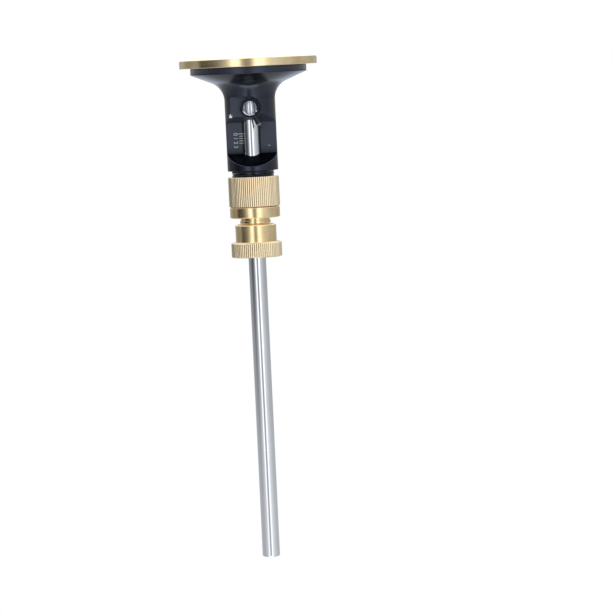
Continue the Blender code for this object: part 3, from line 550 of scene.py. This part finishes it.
def rubber(name):
    """Matt black rubber with a bloom and a moulded grain."""
    material, tree, shader = start(name, 0.75, 0.0)
    cloud = noise(tree, 900, detail=5.0)
    tone = blend(tree, spread(tree, cloud, 0.35, 0.7), linear(20, 20, 22), linear(44, 44, 46))
    tone = blend(tree, times(tree, edges(tree, 0.53, 0.62), 0.5), tone, linear(70, 70, 72))
    feed(tree, shader, Base_Color=tone, Roughness=spread(tree, cloud, 0.3, 0.7, 0.65, 0.85))
    roughen(tree, shader, cloud, 0.3, 0.00005)
    return material


def scale_paint(name):
    """White filler in the engraved scale: chalky, thin in places, so that the dark ground shows through."""
    material, tree, shader = start(name, 0.6, 0.0)
    cloud = noise(tree, 2600, detail=4.0)
    tone = blend(tree, spread(tree, cloud, 0.38, 0.6), linear(170, 173, 180), linear(250, 251, 253))
    tone = blend(tree, times(tree, edges(tree, 0.53, 0.62), 0.4), tone, linear(150, 154, 160))
    feed(tree, shader, Base_Color=tone, Roughness=spread(tree, cloud, 0.3, 0.7, 0.5, 0.7))
    roughen(tree, shader, cloud, 0.25, 0.00003)
    return material


BRASS_RICH = ((0.87, 0.65, 0.35), (0.95, 0.77, 0.46), (1.0, 0.87, 0.63))
BRASS_PALE = ((0.82, 0.65, 0.36), (0.90, 0.75, 0.48), (0.97, 0.88, 0.66))
BRASS_CREST = (1.0, 0.87, 0.62)
# dark brass, for the knurl's darker roots and for the painted shade at the cap's seam
BRASS_ROOT = (0.36, 0.20, 0.08)
# the third tone is a paler copy of the skin, painted on the window's floor as painted light
ANODISED_DEEP, ANODISED_PALE, ANODISED_PAINTED_LIGHT = linear(2, 3, 6), linear(6, 7, 12), linear(40, 43, 50)
# paler tone for outer edges, partly wear and partly a painted highlight
ANODISED_WEAR_HIGHLIGHT = linear(84, 90, 102)
BARE_ALUMINIUM = (0.90, 0.91, 0.92)
BARE_NICK, SMALL_NICK = ((9.05, -7.05, 26.3), 1.95), ((-7.9, -2.0, 40.0), 1.25)  # centre and size
WELL_FLOOR = BEAM_RADIUS + 0.4
STEEL_DEEP, STEEL_PALE, STEEL_BRIGHT = (0.70, 0.73, 0.78), (0.79, 0.82, 0.87), (0.89, 0.91, 0.95)
BLACKENED_DEEP, BLACKENED_PALE = linear(3, 3, 5), linear(10, 10, 13)

plate_brass = turned_brass("plate_brass", 0.13, BRASS_PALE)
knurled_brass = turned_brass("knurled_brass", 0.15, BRASS_RICH, RING_RADIUS)
cap_brass = turned_brass("cap_brass", 0.18, BRASS_RICH, seam=CAP_START + 0.06)
carrier_brass = turned_brass("carrier_brass", 0.15, BRASS_RICH)
nut_brass = turned_brass("nut_brass", 0.2, BRASS_RICH, NUT_GRIP)
anodised = black_anodised("black_anodised_aluminium")
bar_steel = ground_steel("ground_bar_steel", 0.12)
wheel_steel = ground_steel("hardened_wheel_steel", 0.22, 5200, 60)
screw_steel = ground_steel("screw_steel", 0.3, 3000, 90)
dark_steel = lock_steel("blackened_steel")
washer_bronze = bearing_bronze("bearing_bronze")
ring_rubber = rubber("nitrile_rubber")
scale_white = scale_paint("scale_filler")


# ------------------------------------------------------------------ head
def head_outline():
    """Outside of the head from the neck's end down to the flange, as softened points of radius and height.
    Rows lie close together where the window's slopes cut the tube, and an arc makes the hollow."""
    centre = TUBE_RADIUS + HOLLOW_RADIUS
    angle = np.linspace(0, CONE_FROM_AXIS, 28)
    across, down = HOLLOW_RADIUS * np.cos(angle), HOLLOW_RADIUS * np.sin(angle)
    hollow = np.stack([centre - across, TUBE_START - down], -1)
    neck = [(0, NECK_END), (NECK_RADIUS - 0.55, NECK_END), (NECK_RADIUS - 0.3, TUBE_END)]
    tube = [(TUBE_RADIUS, TUBE_END), (TUBE_RADIUS, TUBE_START)]
    spare = 0.4  # beyond each slope's end
    front_top = WINDOW_START - FRONT_SLOPE * (TUBE_RADIUS - FLAT_HEIGHT) - spare
    rear_top = WINDOW_END + REAR_SLOPE * (TUBE_RADIUS - FLAT_HEIGHT) + spare
    rear = np.arange(rear_top, WINDOW_END, -SLOPE_STEP)
    flat = np.linspace(WINDOW_END, WINDOW_START, 9)
    front = np.arange(WINDOW_START - SLOPE_STEP, front_top, -SLOPE_STEP)
    heights = np.concatenate([rear, flat, front])
    wall = np.stack([np.full_like(heights, TUBE_RADIUS), heights], -1)
    flange = [(FLANGE_RADIUS, RIM_END), (FLANGE_RADIUS, FLANGE_START), (0, FLANGE_START)]
    corners = neck + tube + flange
    ends = softened(corners, 0.3, 5).reshape(len(corners), -1, 2)
    # the corner between tube and hollow drops out, because the arc starts there
    above, below = ends[: len(neck) + 1], ends[len(neck) + 2 :]
    return np.concatenate([above.reshape(-1, 2), wall, hollow, below.reshape(-1, 2)])


def with_window(radius, height, angle):
    """The head's radius with the window cut in: the lesser of the turned radius and the window's floor,
    which lies at one depth between its two slopes, blended over a hair's breadth where they meet."""
    depth = FLAT_HEIGHT + np.maximum(WINDOW_START - height, 0) / FRONT_SLOPE
    depth = depth + np.maximum(height - WINDOW_END, 0) / REAR_SLOPE
    towards = np.maximum(-np.sin(angle), 1e-3)  # never nought, so that at the back the floor lies far out
    floor = np.minimum(depth / towards, FAR_OUT)
    gap = np.maximum(EDGE_BLEND - np.abs(radius - floor), 0) / EDGE_BLEND
    cut = np.minimum(radius, floor) - gap**2 * EDGE_BLEND / 4
    inside = (height > TUBE_START - 0.5) & (height < TUBE_END - 0.5)
    return np.where(inside, cut, radius)


def head_blank():
    """The head before it is bored: the outline carried round the axis on angles that crowd together where
    the window's long edges run. They are even elsewhere, less those too near a crowded one."""
    corner = np.arcsin(FLAT_HEIGHT / TUBE_RADIUS)
    near = np.radians(np.concatenate([np.arange(-1.5, 1.5, 0.15), np.arange(1.5, 24, 0.45)]))
    coarse = np.arange(200) * TURN / 200
    gap = np.abs(np.abs(coarse[:, None] - np.pi * 1.5) - (np.pi / 2 - corner - near)[None, :]).min(1)
    coarse = coarse[gap > np.radians(0.5)]
    angle = np.sort(np.concatenate([coarse, TURN - corner - near, np.pi + corner + near]))[None, :]
    outline = head_outline()
    height = outline[:, 1:]
    radius = with_window(outline[:, :1] + 0 * angle, height, angle)
    points = np.stack([radius * np.cos(angle), radius * np.sin(angle), height + 0 * angle], -1)
    return grid_mesh("head_blank", points)


def head_bore():
    """Everything bored from the two ends, as one turned tool."""
    low, high = FLANGE_START - PAST, NECK_END + PAST
    outline = [
        (0, high),
        (CARRIER_BORE, high),
        (CARRIER_BORE, CARRIER_BORE_START),
        (BEAM_BORE, CARRIER_BORE_START),
        (BEAM_BORE, GROOVE_END),
        (GROOVE_RADIUS, GROOVE_END),
        (GROOVE_RADIUS, GROOVE_START),
        (BEAM_BORE, GROOVE_START),
        (BEAM_BORE, RECESS_END),
        (RECESS_RADIUS, RECESS_END),
        (RECESS_RADIUS, low),
        (0, low),
    ]
    return turned("head_bore", outline, 128)


def pocket_tool():
    """The lever's pocket: a half round and a straight run out to the side, raised along the view."""
    count = 48
    angle = np.linspace(np.pi / 2, 3 * np.pi / 2, count)
    outside = TUBE_RADIUS + PAST
    x = np.concatenate([POCKET_RADIUS * np.cos(angle), [outside, outside]])
    y = np.concatenate([POCKET_RADIUS * np.sin(angle), [-POCKET_RADIUS, POCKET_RADIUS]])
    share = np.array([0, 1, 1, 0])[:, None]
    level = np.array([POCKET_HEIGHT, POCKET_HEIGHT, outside, outside])[:, None]
    middle = 2.0  # any point inside closes the two ends as fans
    points = np.stack([middle + (x - middle) * share, y * share, level + 0 * x], -1)
    return placed(grid_mesh("pocket_tool", points), facing_window(LOCK_Z))


def plain_tool(name, radius, low, high, columns):
    """A round bar between two heights, for cutting a hole."""
    return turned(name, [(0, high), (radius, high), (radius, low), (0, low)], columns)


def lock_hole_tools():
    """The lock screw's threaded hole down to the beam, and the sight hole that goes on into the bore."""
    play, sight_end = 0.1, 1.0
    thread = plain_tool("lock_thread_tool", HUB_RADIUS + play, BEAM_RADIUS, POCKET_HEIGHT + 1, 96)
    sight = plain_tool("lock_sight_tool", HUB_BORE + play, sight_end, POCKET_HEIGHT, 96)
    return [placed(thread, facing_window(LOCK_Z)), placed(sight, facing_window(LOCK_Z))]


def make_head():
    """The blank less its bores and pocket, and the neck's thread as a sleeve on the relieved neck."""
    tools = [head_bore(), pocket_tool(), *lock_hole_tools()]
    mesh = carved("turned_head", head_blank(), tools)
    add_piece("turned_head", mesh, anodised, "head", "black_anodised", "head_body")
    low, high, core = TUBE_END + 0.3, NECK_END - 0.4, NECK_RADIUS - NECK_RELIEF
    outline = fine_rows([(NECK_RADIUS, high), (NECK_RADIUS, low), (core, low), (core, high)], 0.11)
    thread = turned("neck_thread", outline, 144, threaded(NECK_RADIUS, NECK_PITCH, NECK_THREAD_DEPTH))
    add_piece("neck_thread", thread, anodised, "head", "black_anodised")


# ------------------------------------------------------------------ fence
def screw_places():
    """Four places, evenly round a circle."""
    angle = np.arange(4) * TURN / 4 + TURN / 8
    return np.stack([SCREW_CIRCLE * np.cos(angle), SCREW_CIRCLE * np.sin(angle)], -1)


def make_fence():
    """A turned ring with a countersunk hole for each screw."""
    top_radius = FENCE_RADIUS - 0.12  # the rim leans in a little
    corners = [(top_radius, FENCE_TOP), (FENCE_RADIUS, 0), (RECESS_RADIUS, 0), (RECESS_RADIUS, FENCE_TOP)]
    low, high = -PAST, FENCE_TOP + PAST
    sink_end = SINK_START + SINK_RADIUS - SCREW_HOLE
    hole = [(0, high), (SCREW_HOLE, high), (SCREW_HOLE, sink_end)]
    hole += [(SINK_RADIUS, SINK_START), (SINK_RADIUS, low), (0, low)]
    tools = []
    for x, y in screw_places():
        tools.append(placed(turned("screw_hole", hole, 64), Matrix.Translation((x * MM, y * MM, 0))))
    mesh = carved("fence_disc", turned("fence_blank", softened(corners, 0.34, 5), 256), tools)
    add_piece("fence_disc", mesh, plate_brass, "head", "turned_brass", "fence_plate")


def countersunk(name, head, shank, top, tip, socket, depth):
    """A countersunk screw that points up, from the shank's tip down to the head's face and its socket, whose
    rows take their radius from the function given."""
    outline = [(0, tip), (shank * 0.8, tip), (shank, tip - 0.3), (shank, top + head - shank)]
    outline += [(head, top + 0.1), (head - 0.08, top), (head * 0.62, top)]
    first = len(outline)
    inner = 0.5  # stands for the socket's radius until the function gives it
    outline += [(inner, top), (inner, top + depth), (0, top + depth)]

    def shape(r, height, angle):
        rows = np.arange(len(outline))[:, None]
        return np.where((rows == first) | (rows == first + 1), socket(angle), r)

    return turned(name, outline, 72, shape)


def make_screws():
    def hexagon(angle):
        """One millimetre from the axis to each flat."""
        return 1.0 / np.cos((angle + TURN / 12) % (TURN / 6) - TURN / 12)

    def six_lobes(angle):
        return 0.95 + 0.17 * np.cos(6 * angle)

    small = {"head": 2.8, "shank": 1.45, "top": SINK_START, "tip": 8.5, "socket": hexagon, "depth": 1.3}
    for number, (x, y) in enumerate(screw_places(), 1):
        mesh = countersunk(f"fence_fixing_{number}", **small)
        placed(mesh, Matrix.Translation((x * MM, y * MM, 0)))
        add_piece(f"fence_fixing_{number}", mesh, screw_steel, "head", "screw_steel", f"fence_screw_{number}")
    wide = {"head": 2.4, "shank": 1.35, "top": WHEEL_FACE, "tip": 8.8, "socket": six_lobes, "depth": 0.9}
    mesh = countersunk("wheel_fixing", **wide)
    add_piece("wheel_fixing", mesh, screw_steel, "beam", "screw_steel", "cutter_screw")


# ------------------------------------------------------------------ lock
def make_lock():
    """A hollow round screw that looks out of its pocket, and a grooved pin that leans out of its side."""
    corners = [(HUB_RADIUS, HUB_TOP), (HUB_RADIUS, HUB_FOOT), (HUB_BORE, HUB_FOOT), (HUB_BORE, HUB_TOP)]
    hub = placed(turned("lock_screw", softened(corners, 0.4, 6), 128), facing_window(LOCK_Z))
    add_piece("lock_screw", hub, dark_steel, "lock", "black_anodised", "lock_hub")
    floor = LEVER_RADIUS - LEVER_GROOVE_DEPTH
    corners = [(0, LEVER_REACH), (LEVER_RADIUS, LEVER_REACH), (LEVER_RADIUS, LEVER_GROOVE_END)]
    corners += [(floor, LEVER_GROOVE_END), (floor, LEVER_GROOVE_START), (LEVER_RADIUS, LEVER_GROOVE_START)]
    corners += [(LEVER_RADIUS, LEVER_ROOT), (0, LEVER_ROOT)]
    pin = turned("lock_lever", softened(corners, 0.3, 4), 64)
    aim = Vector((np.cos(LEVER_ANGLE), 0, np.sin(LEVER_ANGLE)))
    turn = aim.to_track_quat("Z", "Y").to_matrix().to_4x4()
    placed(pin, Matrix.Translation((0, -LEVER_HEIGHT * MM, LOCK_Z * MM)) @ turn)
    add_piece("lock_lever", pin, dark_steel, "lock", "blackened_steel", "lock_lever_pin")


# ------------------------------------------------------------------ adjuster, clamp and carrier
def knurled(name, corners, radius, rounding):
    """A turning with rounded corners, and ribs wherever it stands out past the roots of its knurl."""
    shape, count = flutes(radius)
    return turned(name, softened(corners, rounding, 4), count * 10, shape)


def make_adjuster():
    """A ring with ribs round its outside, and the plain cap that closes it."""
    thread = NECK_RADIUS + 0.1
    corners = [(SPIGOT_RADIUS, SPIGOT_END), (SPIGOT_RADIUS, RING_END)]
    corners += [(RING_RADIUS, RING_END), (RING_RADIUS, RING_START)]
    corners += [(thread, RING_START), (thread, RING_THREAD_END)]
    corners += [(CARRIER_BORE, RING_THREAD_END), (CARRIER_BORE, RING_RECESS_START)]
    corners += [(RING_RECESS_RADIUS, RING_RECESS_START), (RING_RECESS_RADIUS, SPIGOT_END)]
    ring = knurled("knurled_adjuster", corners, RING_RADIUS, 0.3)
    add_piece("knurled_adjuster", ring, knurled_brass, "adjuster", "turned_brass", "adjuster_ring")

    foot = RING_END + 0.03
    corners = [(CAP_RADIUS - EDGE_CHAMFER, CAP_END), (CAP_RADIUS, CAP_END - EDGE_CHAMFER)]
    corners += [(CAP_RADIUS, CAP_EDGE), (CAP_STEP_RADIUS, CAP_EDGE)]
    corners += [(CAP_STEP_RADIUS, foot), (CAP_THREAD_RADIUS, foot)]
    corners += [(CAP_THREAD_RADIUS, CAP_THREAD_END), (CAP_HOLE, CAP_THREAD_END), (CAP_HOLE, CAP_END)]
    cap = turned("adjuster_cap", softened(corners, 0.2, 4), 224)
    add_piece("adjuster_cap", cap, cap_brass, "adjuster", "turned_brass", "retaining_cap")


def make_carrier():
    """A tube with a flange, a neck and a lip, less its keyway."""
    corners = [(CARRIER_THREAD, CARRIER_END), (CARRIER_THREAD, LIP_END)]
    corners += [(LIP_RADIUS, LIP_END), (LIP_RADIUS, LIP_START)]
    corners += [(CARRIER_NECK, LIP_START), (CARRIER_NECK, CARRIER_FLANGE_END)]
    corners += [(CARRIER_FLANGE_RADIUS, CARRIER_FLANGE_END), (CARRIER_FLANGE_RADIUS, CARRIER_FLANGE_START)]
    corners += [(CARRIER_RADIUS, CARRIER_FLANGE_START), (CARRIER_RADIUS, CARRIER_START)]
    corners += [(CARRIER_HOLE, CARRIER_START), (CARRIER_HOLE, CARRIER_END)]
    low = (-KEYWAY_WIDTH / 2, KEYWAY_FLOOR, CARRIER_START - PAST)
    high = (KEYWAY_WIDTH / 2, CARRIER_RADIUS + PAST, KEYWAY_END)
    blank = turned("collet_tube_blank", softened(corners, 0.2, 4), 192)
    mesh = carved("collet_tube", blank, [grid_box("keyway", low, high)])
    add_piece("collet_tube", mesh, carrier_brass, "carrier", "turned_brass", "collet_carrier")


def make_nut():
    """A plain barrel and a ribbed grip, tapered inside where it closes the collet."""
    under = NUT_GRIP - EDGE_CHAMFER
    foot = 0.45  # the barrel's larger chamfer
    corners = [(under, NUT_END), (NUT_GRIP, NUT_END - EDGE_CHAMFER)]
    corners += [(NUT_GRIP, NUT_SHOULDER + EDGE_CHAMFER), (under, NUT_SHOULDER)]
    corners += [(NUT_BARREL, NUT_SHOULDER), (NUT_BARREL, NUT_START + foot), (NUT_BARREL - foot, NUT_START)]
    corners += [(NUT_THREAD, NUT_START), (NUT_THREAD, NUT_THREAD_END), (NUT_CONE_RADIUS, NUT_CONE_END)]
    corners += [(NUT_HOLE, NUT_CONE_END), (NUT_HOLE, NUT_END)]
    nut = knurled("clamp_nut_turned", corners, NUT_GRIP, 0.2)
    add_piece("clamp_nut_turned", nut, nut_brass, "nut", "turned_brass", "clamp_nut")


# ------------------------------------------------------------------ beam and cutter
def make_beam():
    """A round bar, bored for the wheel's screw, and the wheel with its bevel and countersink."""
    chamfer = 0.5
    corners = [(0, BEAM_END), (BEAM_RADIUS - chamfer, BEAM_END), (BEAM_RADIUS, BEAM_END - chamfer)]
    corners += [(BEAM_RADIUS, BEAM_START), (0, BEAM_START)]
    hole = plain_tool("beam_hole", WHEEL_HOLE, BEAM_START - PAST, WHEEL_SCREW_END, 48)
    mesh = carved("beam_bar", turned("beam_blank", softened(corners, 0.3, 4), 160), [hole])
    add_piece("beam_bar", mesh, bar_steel, "beam", "polished_steel", "beam_rod")

    sink_end = WHEEL_FACE + WHEEL_SINK - WHEEL_HOLE
    corners = [(WHEEL_BACK_RADIUS, WHEEL_BACK), (WHEEL_RADIUS - 0.02, WHEEL_FACE + 0.13)]
    corners += [(WHEEL_RADIUS, WHEEL_FACE), (WHEEL_SINK, WHEEL_FACE)]
    corners += [(WHEEL_HOLE, sink_end), (WHEEL_HOLE, WHEEL_BACK)]
    wheel = turned("cutting_wheel", softened(corners, 0.04, 2), 192)
    add_piece("cutting_wheel", wheel, wheel_steel, "beam", "tool_steel", "cutter_wheel")


# ------------------------------------------------------------------ scale on the window's flat
def make_scale():
    """Thin filled lines and plain numbers beside the beam, on the +X side of the window's flat."""
    top = -(FLAT_HEIGHT + SCALE_LIFT)
    for number in range(TICKS):
        z = TICK_START + number * TICK_STEP
        far = TICK_FAR if number % 5 else LONG_TICK_FAR
        low = (TICK_NEAR, top, z - TICK_WIDTH / 2)
        mesh = grid_box("tick", low, (far, top + SCALE_DEPTH, z + TICK_WIDTH / 2))
        add_piece(f"scale_line_{number}", mesh, scale_white, "head", "black_anodised")
    for number in range(NUMBERS):
        z = NUMBER_START + number * NUMBER_STEP
        letter = bpy.data.curves.new("number", "FONT")
        letter.body = str(number)
        letter.size = NUMBER_SIZE * MM
        letter.extrude = SCALE_DEPTH * MM / 2
        letter.align_x = "CENTER"
        letter.align_y = "CENTER"
        drawn = bpy.data.objects.new("number", letter)
        bpy.context.scene.collection.objects.link(drawn)
        bpy.context.view_layer.update()
        graph = bpy.context.evaluated_depsgraph_get()
        mesh = bpy.data.meshes.new_from_object(drawn.evaluated_get(graph))
        bpy.data.objects.remove(drawn)
        # local X runs up the beam and local Z out of the window
        turn = Matrix(((0, -1, 0), (0, 0, -1), (1, 0, 0))).to_4x4()
        place = Matrix.Translation((NUMBER_X * MM, (top + SCALE_DEPTH / 2) * MM, z * MM))
        settle(placed(mesh, place @ turn))
        add_piece(f"scale_number_{number}", mesh, scale_white, "head", "black_anodised")


make_head()
make_fence()
make_screws()
make_lock()
make_adjuster()
make_carrier()
make_nut()
make_beam()
make_scale()

for node, material in {
    "preload_spring": screw_steel,
    "guide_pin": screw_steel,
    "split_collet": bar_steel,
    "thrust_washer": washer_bronze,
    "drag_o_ring": ring_rubber,
}.items():
    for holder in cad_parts[node].material_slots:
        holder.material = material


# ------------------------------------------------------------------ studio
WALL_RADIUS, WALL_BOTTOM, WALL_TOP = 450.0, -20.0, 1500.0
FLOOR_REACH, FLOOR_HEIGHT = 4000.0, -0.05
CAMERA_LENS, CAMERA_ROLL = 236.32, 0.047045  # millimetres and radians
CAMERA_PLACE, CAMERA_AIM = Vector((-0.0211, -1.82, 0.0015)), Vector((-0.02107, 0, 0.113575))  # metres
COOL_GLOW = (1.02, 1.12, 1.30)  # of the strip behind the gauge
# Degrees round the wall from the camera's side, and how bright it is there: near the floor, and above.
LOW_LIGHT = (
    (-180, 0.40), (-134, 0.38), (-118, 0.24), (-93, 0.30), (-88, 0.24), (-84, 0.06), (-76, 0.05), (-60, 0.08),
    (-52, 0.15), (-45, 0.26), (-36, 0.50), (-30, 0.88), (-25, 1.45), (-20, 1.7), (-14, 1.35), (-10, 0.70),
    (-7, 0.34), (-3, 0.26), (3, 0.28), (8, 0.70), (11, 1.30), (16, 1.7), (24, 1.6), (28, 1.25), (32, 0.98),
    (40, 0.76), (52, 0.66), (68, 0.56), (85, 0.45), (105, 0.48), (123, 0.40), (180, 0.45),
)
HIGH_LIGHT = (
    (-180, 0.55), (-150, 0.55), (-110, 0.54), (-90, 0.50), (-80, 0.50), (-70, 0.54), (-60, 0.60), (-50, 0.68),
    (-42, 0.74), (-36, 0.78), (-30, 0.95), (-25, 1.25), (-20, 1.4), (-14, 1.20), (-10, 0.80), (-7, 0.48),
    (-3, 0.36), (3, 0.38), (8, 0.70), (11, 1.15), (16, 1.4), (24, 1.35), (28, 1.15), (32, 0.98),
    (40, 0.88), (52, 0.78), (68, 0.68), (85, 0.60), (105, 0.58), (123, 0.55), (150, 0.55), (180, 0.55),
)


def stage_piece(name, mesh, material):
    piece = bpy.data.objects.new(name, mesh)
    bpy.context.scene.collection.objects.link(piece)
    mesh.materials.clear()
    mesh.materials.append(material)
    return piece


def glow_round(tree, angle, levels):
    """How bright the wall is at each angle, in steps that blend into each other."""
    lights = add(tree, "ShaderNodeValToRGB", {0: spread(tree, angle, -np.pi, np.pi)})
    stops = lights.color_ramp.elements
    stops.remove(stops[-1])
    for number, (degrees, level) in enumerate(levels):
        stop = stops[0] if number == 0 else stops.new((degrees + 180) / 360)
        stop.position = (degrees + 180) / 360
        stop.color = (level, level, level, 1)
    return lights.outputs["Color"]


def light_wall():
    """A round diffusing wall that glows unevenly: two bright panels stand either side of a gap, a dark screen
    on one side reaches part of the way up, and a cool strip runs along behind the gauge."""
    angle = np.arange(180)[None, :] * TURN / 180
    angle, height = np.broadcast_arrays(angle, np.array([WALL_BOTTOM, WALL_TOP])[:, None])
    points = np.stack([WALL_RADIUS * np.cos(angle), WALL_RADIUS * np.sin(angle), height], -1)
    mesh = grid_mesh("light_wall", points, join_rows=False)
    material = bpy.data.materials.new("lit_cloth")
    material.use_nodes = True
    tree = material.node_tree
    tree.nodes.clear()
    parts = parts_of(tree)
    across, towards = times(tree, parts[0], -1.0), times(tree, parts[1], -1.0)
    angle = add(tree, "ShaderNodeMath", {0: across, 1: towards}, operation="ARCTAN2").outputs[0]
    rise = ramp(tree, parts[2], 100, 250)
    level = blend(tree, rise, glow_round(tree, angle, LOW_LIGHT), glow_round(tree, angle, HIGH_LIGHT))
    turned_away = add(tree, "ShaderNodeMath", {0: angle}, operation="ABSOLUTE").outputs[0]
    behind = spread(tree, turned_away, 2.6, 2.95)
    strip = times(tree, ramp(tree, parts[2], 80, 120), ramp(tree, parts[2], 400, 260))
    level = blend(tree, times(tree, behind, strip), level, COOL_GLOW)
    glow = add(tree, "ShaderNodeEmission", {"Color": level, "Strength": 1.0})
    out = add(tree, "ShaderNodeOutputMaterial")
    tree.links.new(glow.outputs[0], out.inputs["Surface"])
    wall = stage_piece("light_wall", mesh, material)
    wall.visible_camera = False
    wall.visible_shadow = False


def seen_or_mirrored(tree):
    """1 for what the camera sees straight on, in metal or through glass, and 0 for what only lights."""
    path = add(tree, "ShaderNodeLightPath").outputs
    return plus(tree, plus(tree, path["Is Camera Ray"], path["Is Glossy Ray"]), path["Is Transmission Ray"])


def pale_floor():
    """A square about the origin, drawn in to its middle. It glows a little and takes the gauge's shadow."""
    corners = np.array([(-1, -1, 0), (1, -1, 0), (1, 1, 0), (-1, 1, 0)]) * FLOOR_REACH
    points = np.stack([corners, 0 * corners]) + (0, 0, FLOOR_HEIGHT)
    mesh = grid_mesh("pale_floor", points, join_rows=False)
    material = bpy.data.materials.new("pale_floor")
    material.use_nodes = True
    tree = material.node_tree
    shader = tree.nodes["Principled BSDF"]
    speck = noise(tree, 40, detail=4.0)
    tree.links.new(blend(tree, speck, (0.84, 0.84, 0.84), (0.88, 0.88, 0.88)), shader.inputs["Base Color"])
    shader.inputs["Roughness"].default_value = 0.8
    seen = seen_or_mirrored(tree)
    glow = add(tree, "ShaderNodeEmission", {"Color": (1, 1, 1, 1), "Strength": 0.7})
    none = add(tree, "ShaderNodeEmission", {"Color": (0, 0, 0, 1), "Strength": 0.0})
    extra = add(tree, "ShaderNodeMixShader", {0: seen, 1: none.outputs[0], 2: glow.outputs[0]})
    both = add(tree, "ShaderNodeAddShader", {0: shader.outputs[0], 1: extra.outputs[0]})
    tree.links.new(both.outputs[0], tree.nodes["Material Output"].inputs["Surface"])
    stage_piece("pale_floor", mesh, material)


def white_world():
    world = bpy.data.worlds.new("studio")
    world.use_nodes = True
    bpy.context.scene.world = world
    tree = world.node_tree
    tree.nodes.clear()
    seen = seen_or_mirrored(tree)
    soft = add(tree, "ShaderNodeBackground", {"Color": (0.95, 0.97, 1.0, 1), "Strength": 0.4})
    white = add(tree, "ShaderNodeBackground", {"Color": (1, 1, 1, 1), "Strength": 1.0})
    mix = add(tree, "ShaderNodeMixShader", {0: seen, 1: soft.outputs[0], 2: white.outputs[0]})
    out = add(tree, "ShaderNodeOutputWorld")
    tree.links.new(mix.outputs[0], out.inputs["Surface"])


def lamp(name, place, aim, size, power):
    light = bpy.data.lights.new(name, "AREA")
    light.shape = "RECTANGLE"
    light.size, light.size_y = size
    light.energy = power
    item = bpy.data.objects.new(name, light)
    bpy.context.scene.collection.objects.link(item)
    item.location = place
    item.rotation_euler = (Vector(aim) - Vector(place)).to_track_quat("-Z", "Y").to_euler()


def add_camera():
    """The view along +Y from the fence's height, turned over so that the beam hangs down the picture."""
    scene = bpy.context.scene
    camera = bpy.data.cameras.new("camera")
    camera.lens = CAMERA_LENS
    camera.clip_start, camera.clip_end = 0.1, 50
    item = bpy.data.objects.new("camera", camera)
    scene.collection.objects.link(item)
    back = (CAMERA_PLACE - CAMERA_AIM).normalized()
    right = Vector((-np.cos(CAMERA_ROLL), 0, np.sin(CAMERA_ROLL)))
    up = back.cross(right).normalized()
    right = up.cross(back)
    item.matrix_world = Matrix.Translation(CAMERA_PLACE) @ Matrix((right, up, back)).transposed().to_4x4()
    scene.camera = item


light_wall()
pale_floor()
white_world()
lamp("overhead", (0, -0.1, 1.5), (0, 0, 0), (1.2, 1.2), 3.5)
add_camera()
bpy.context.scene.view_settings.view_transform = "Standard"
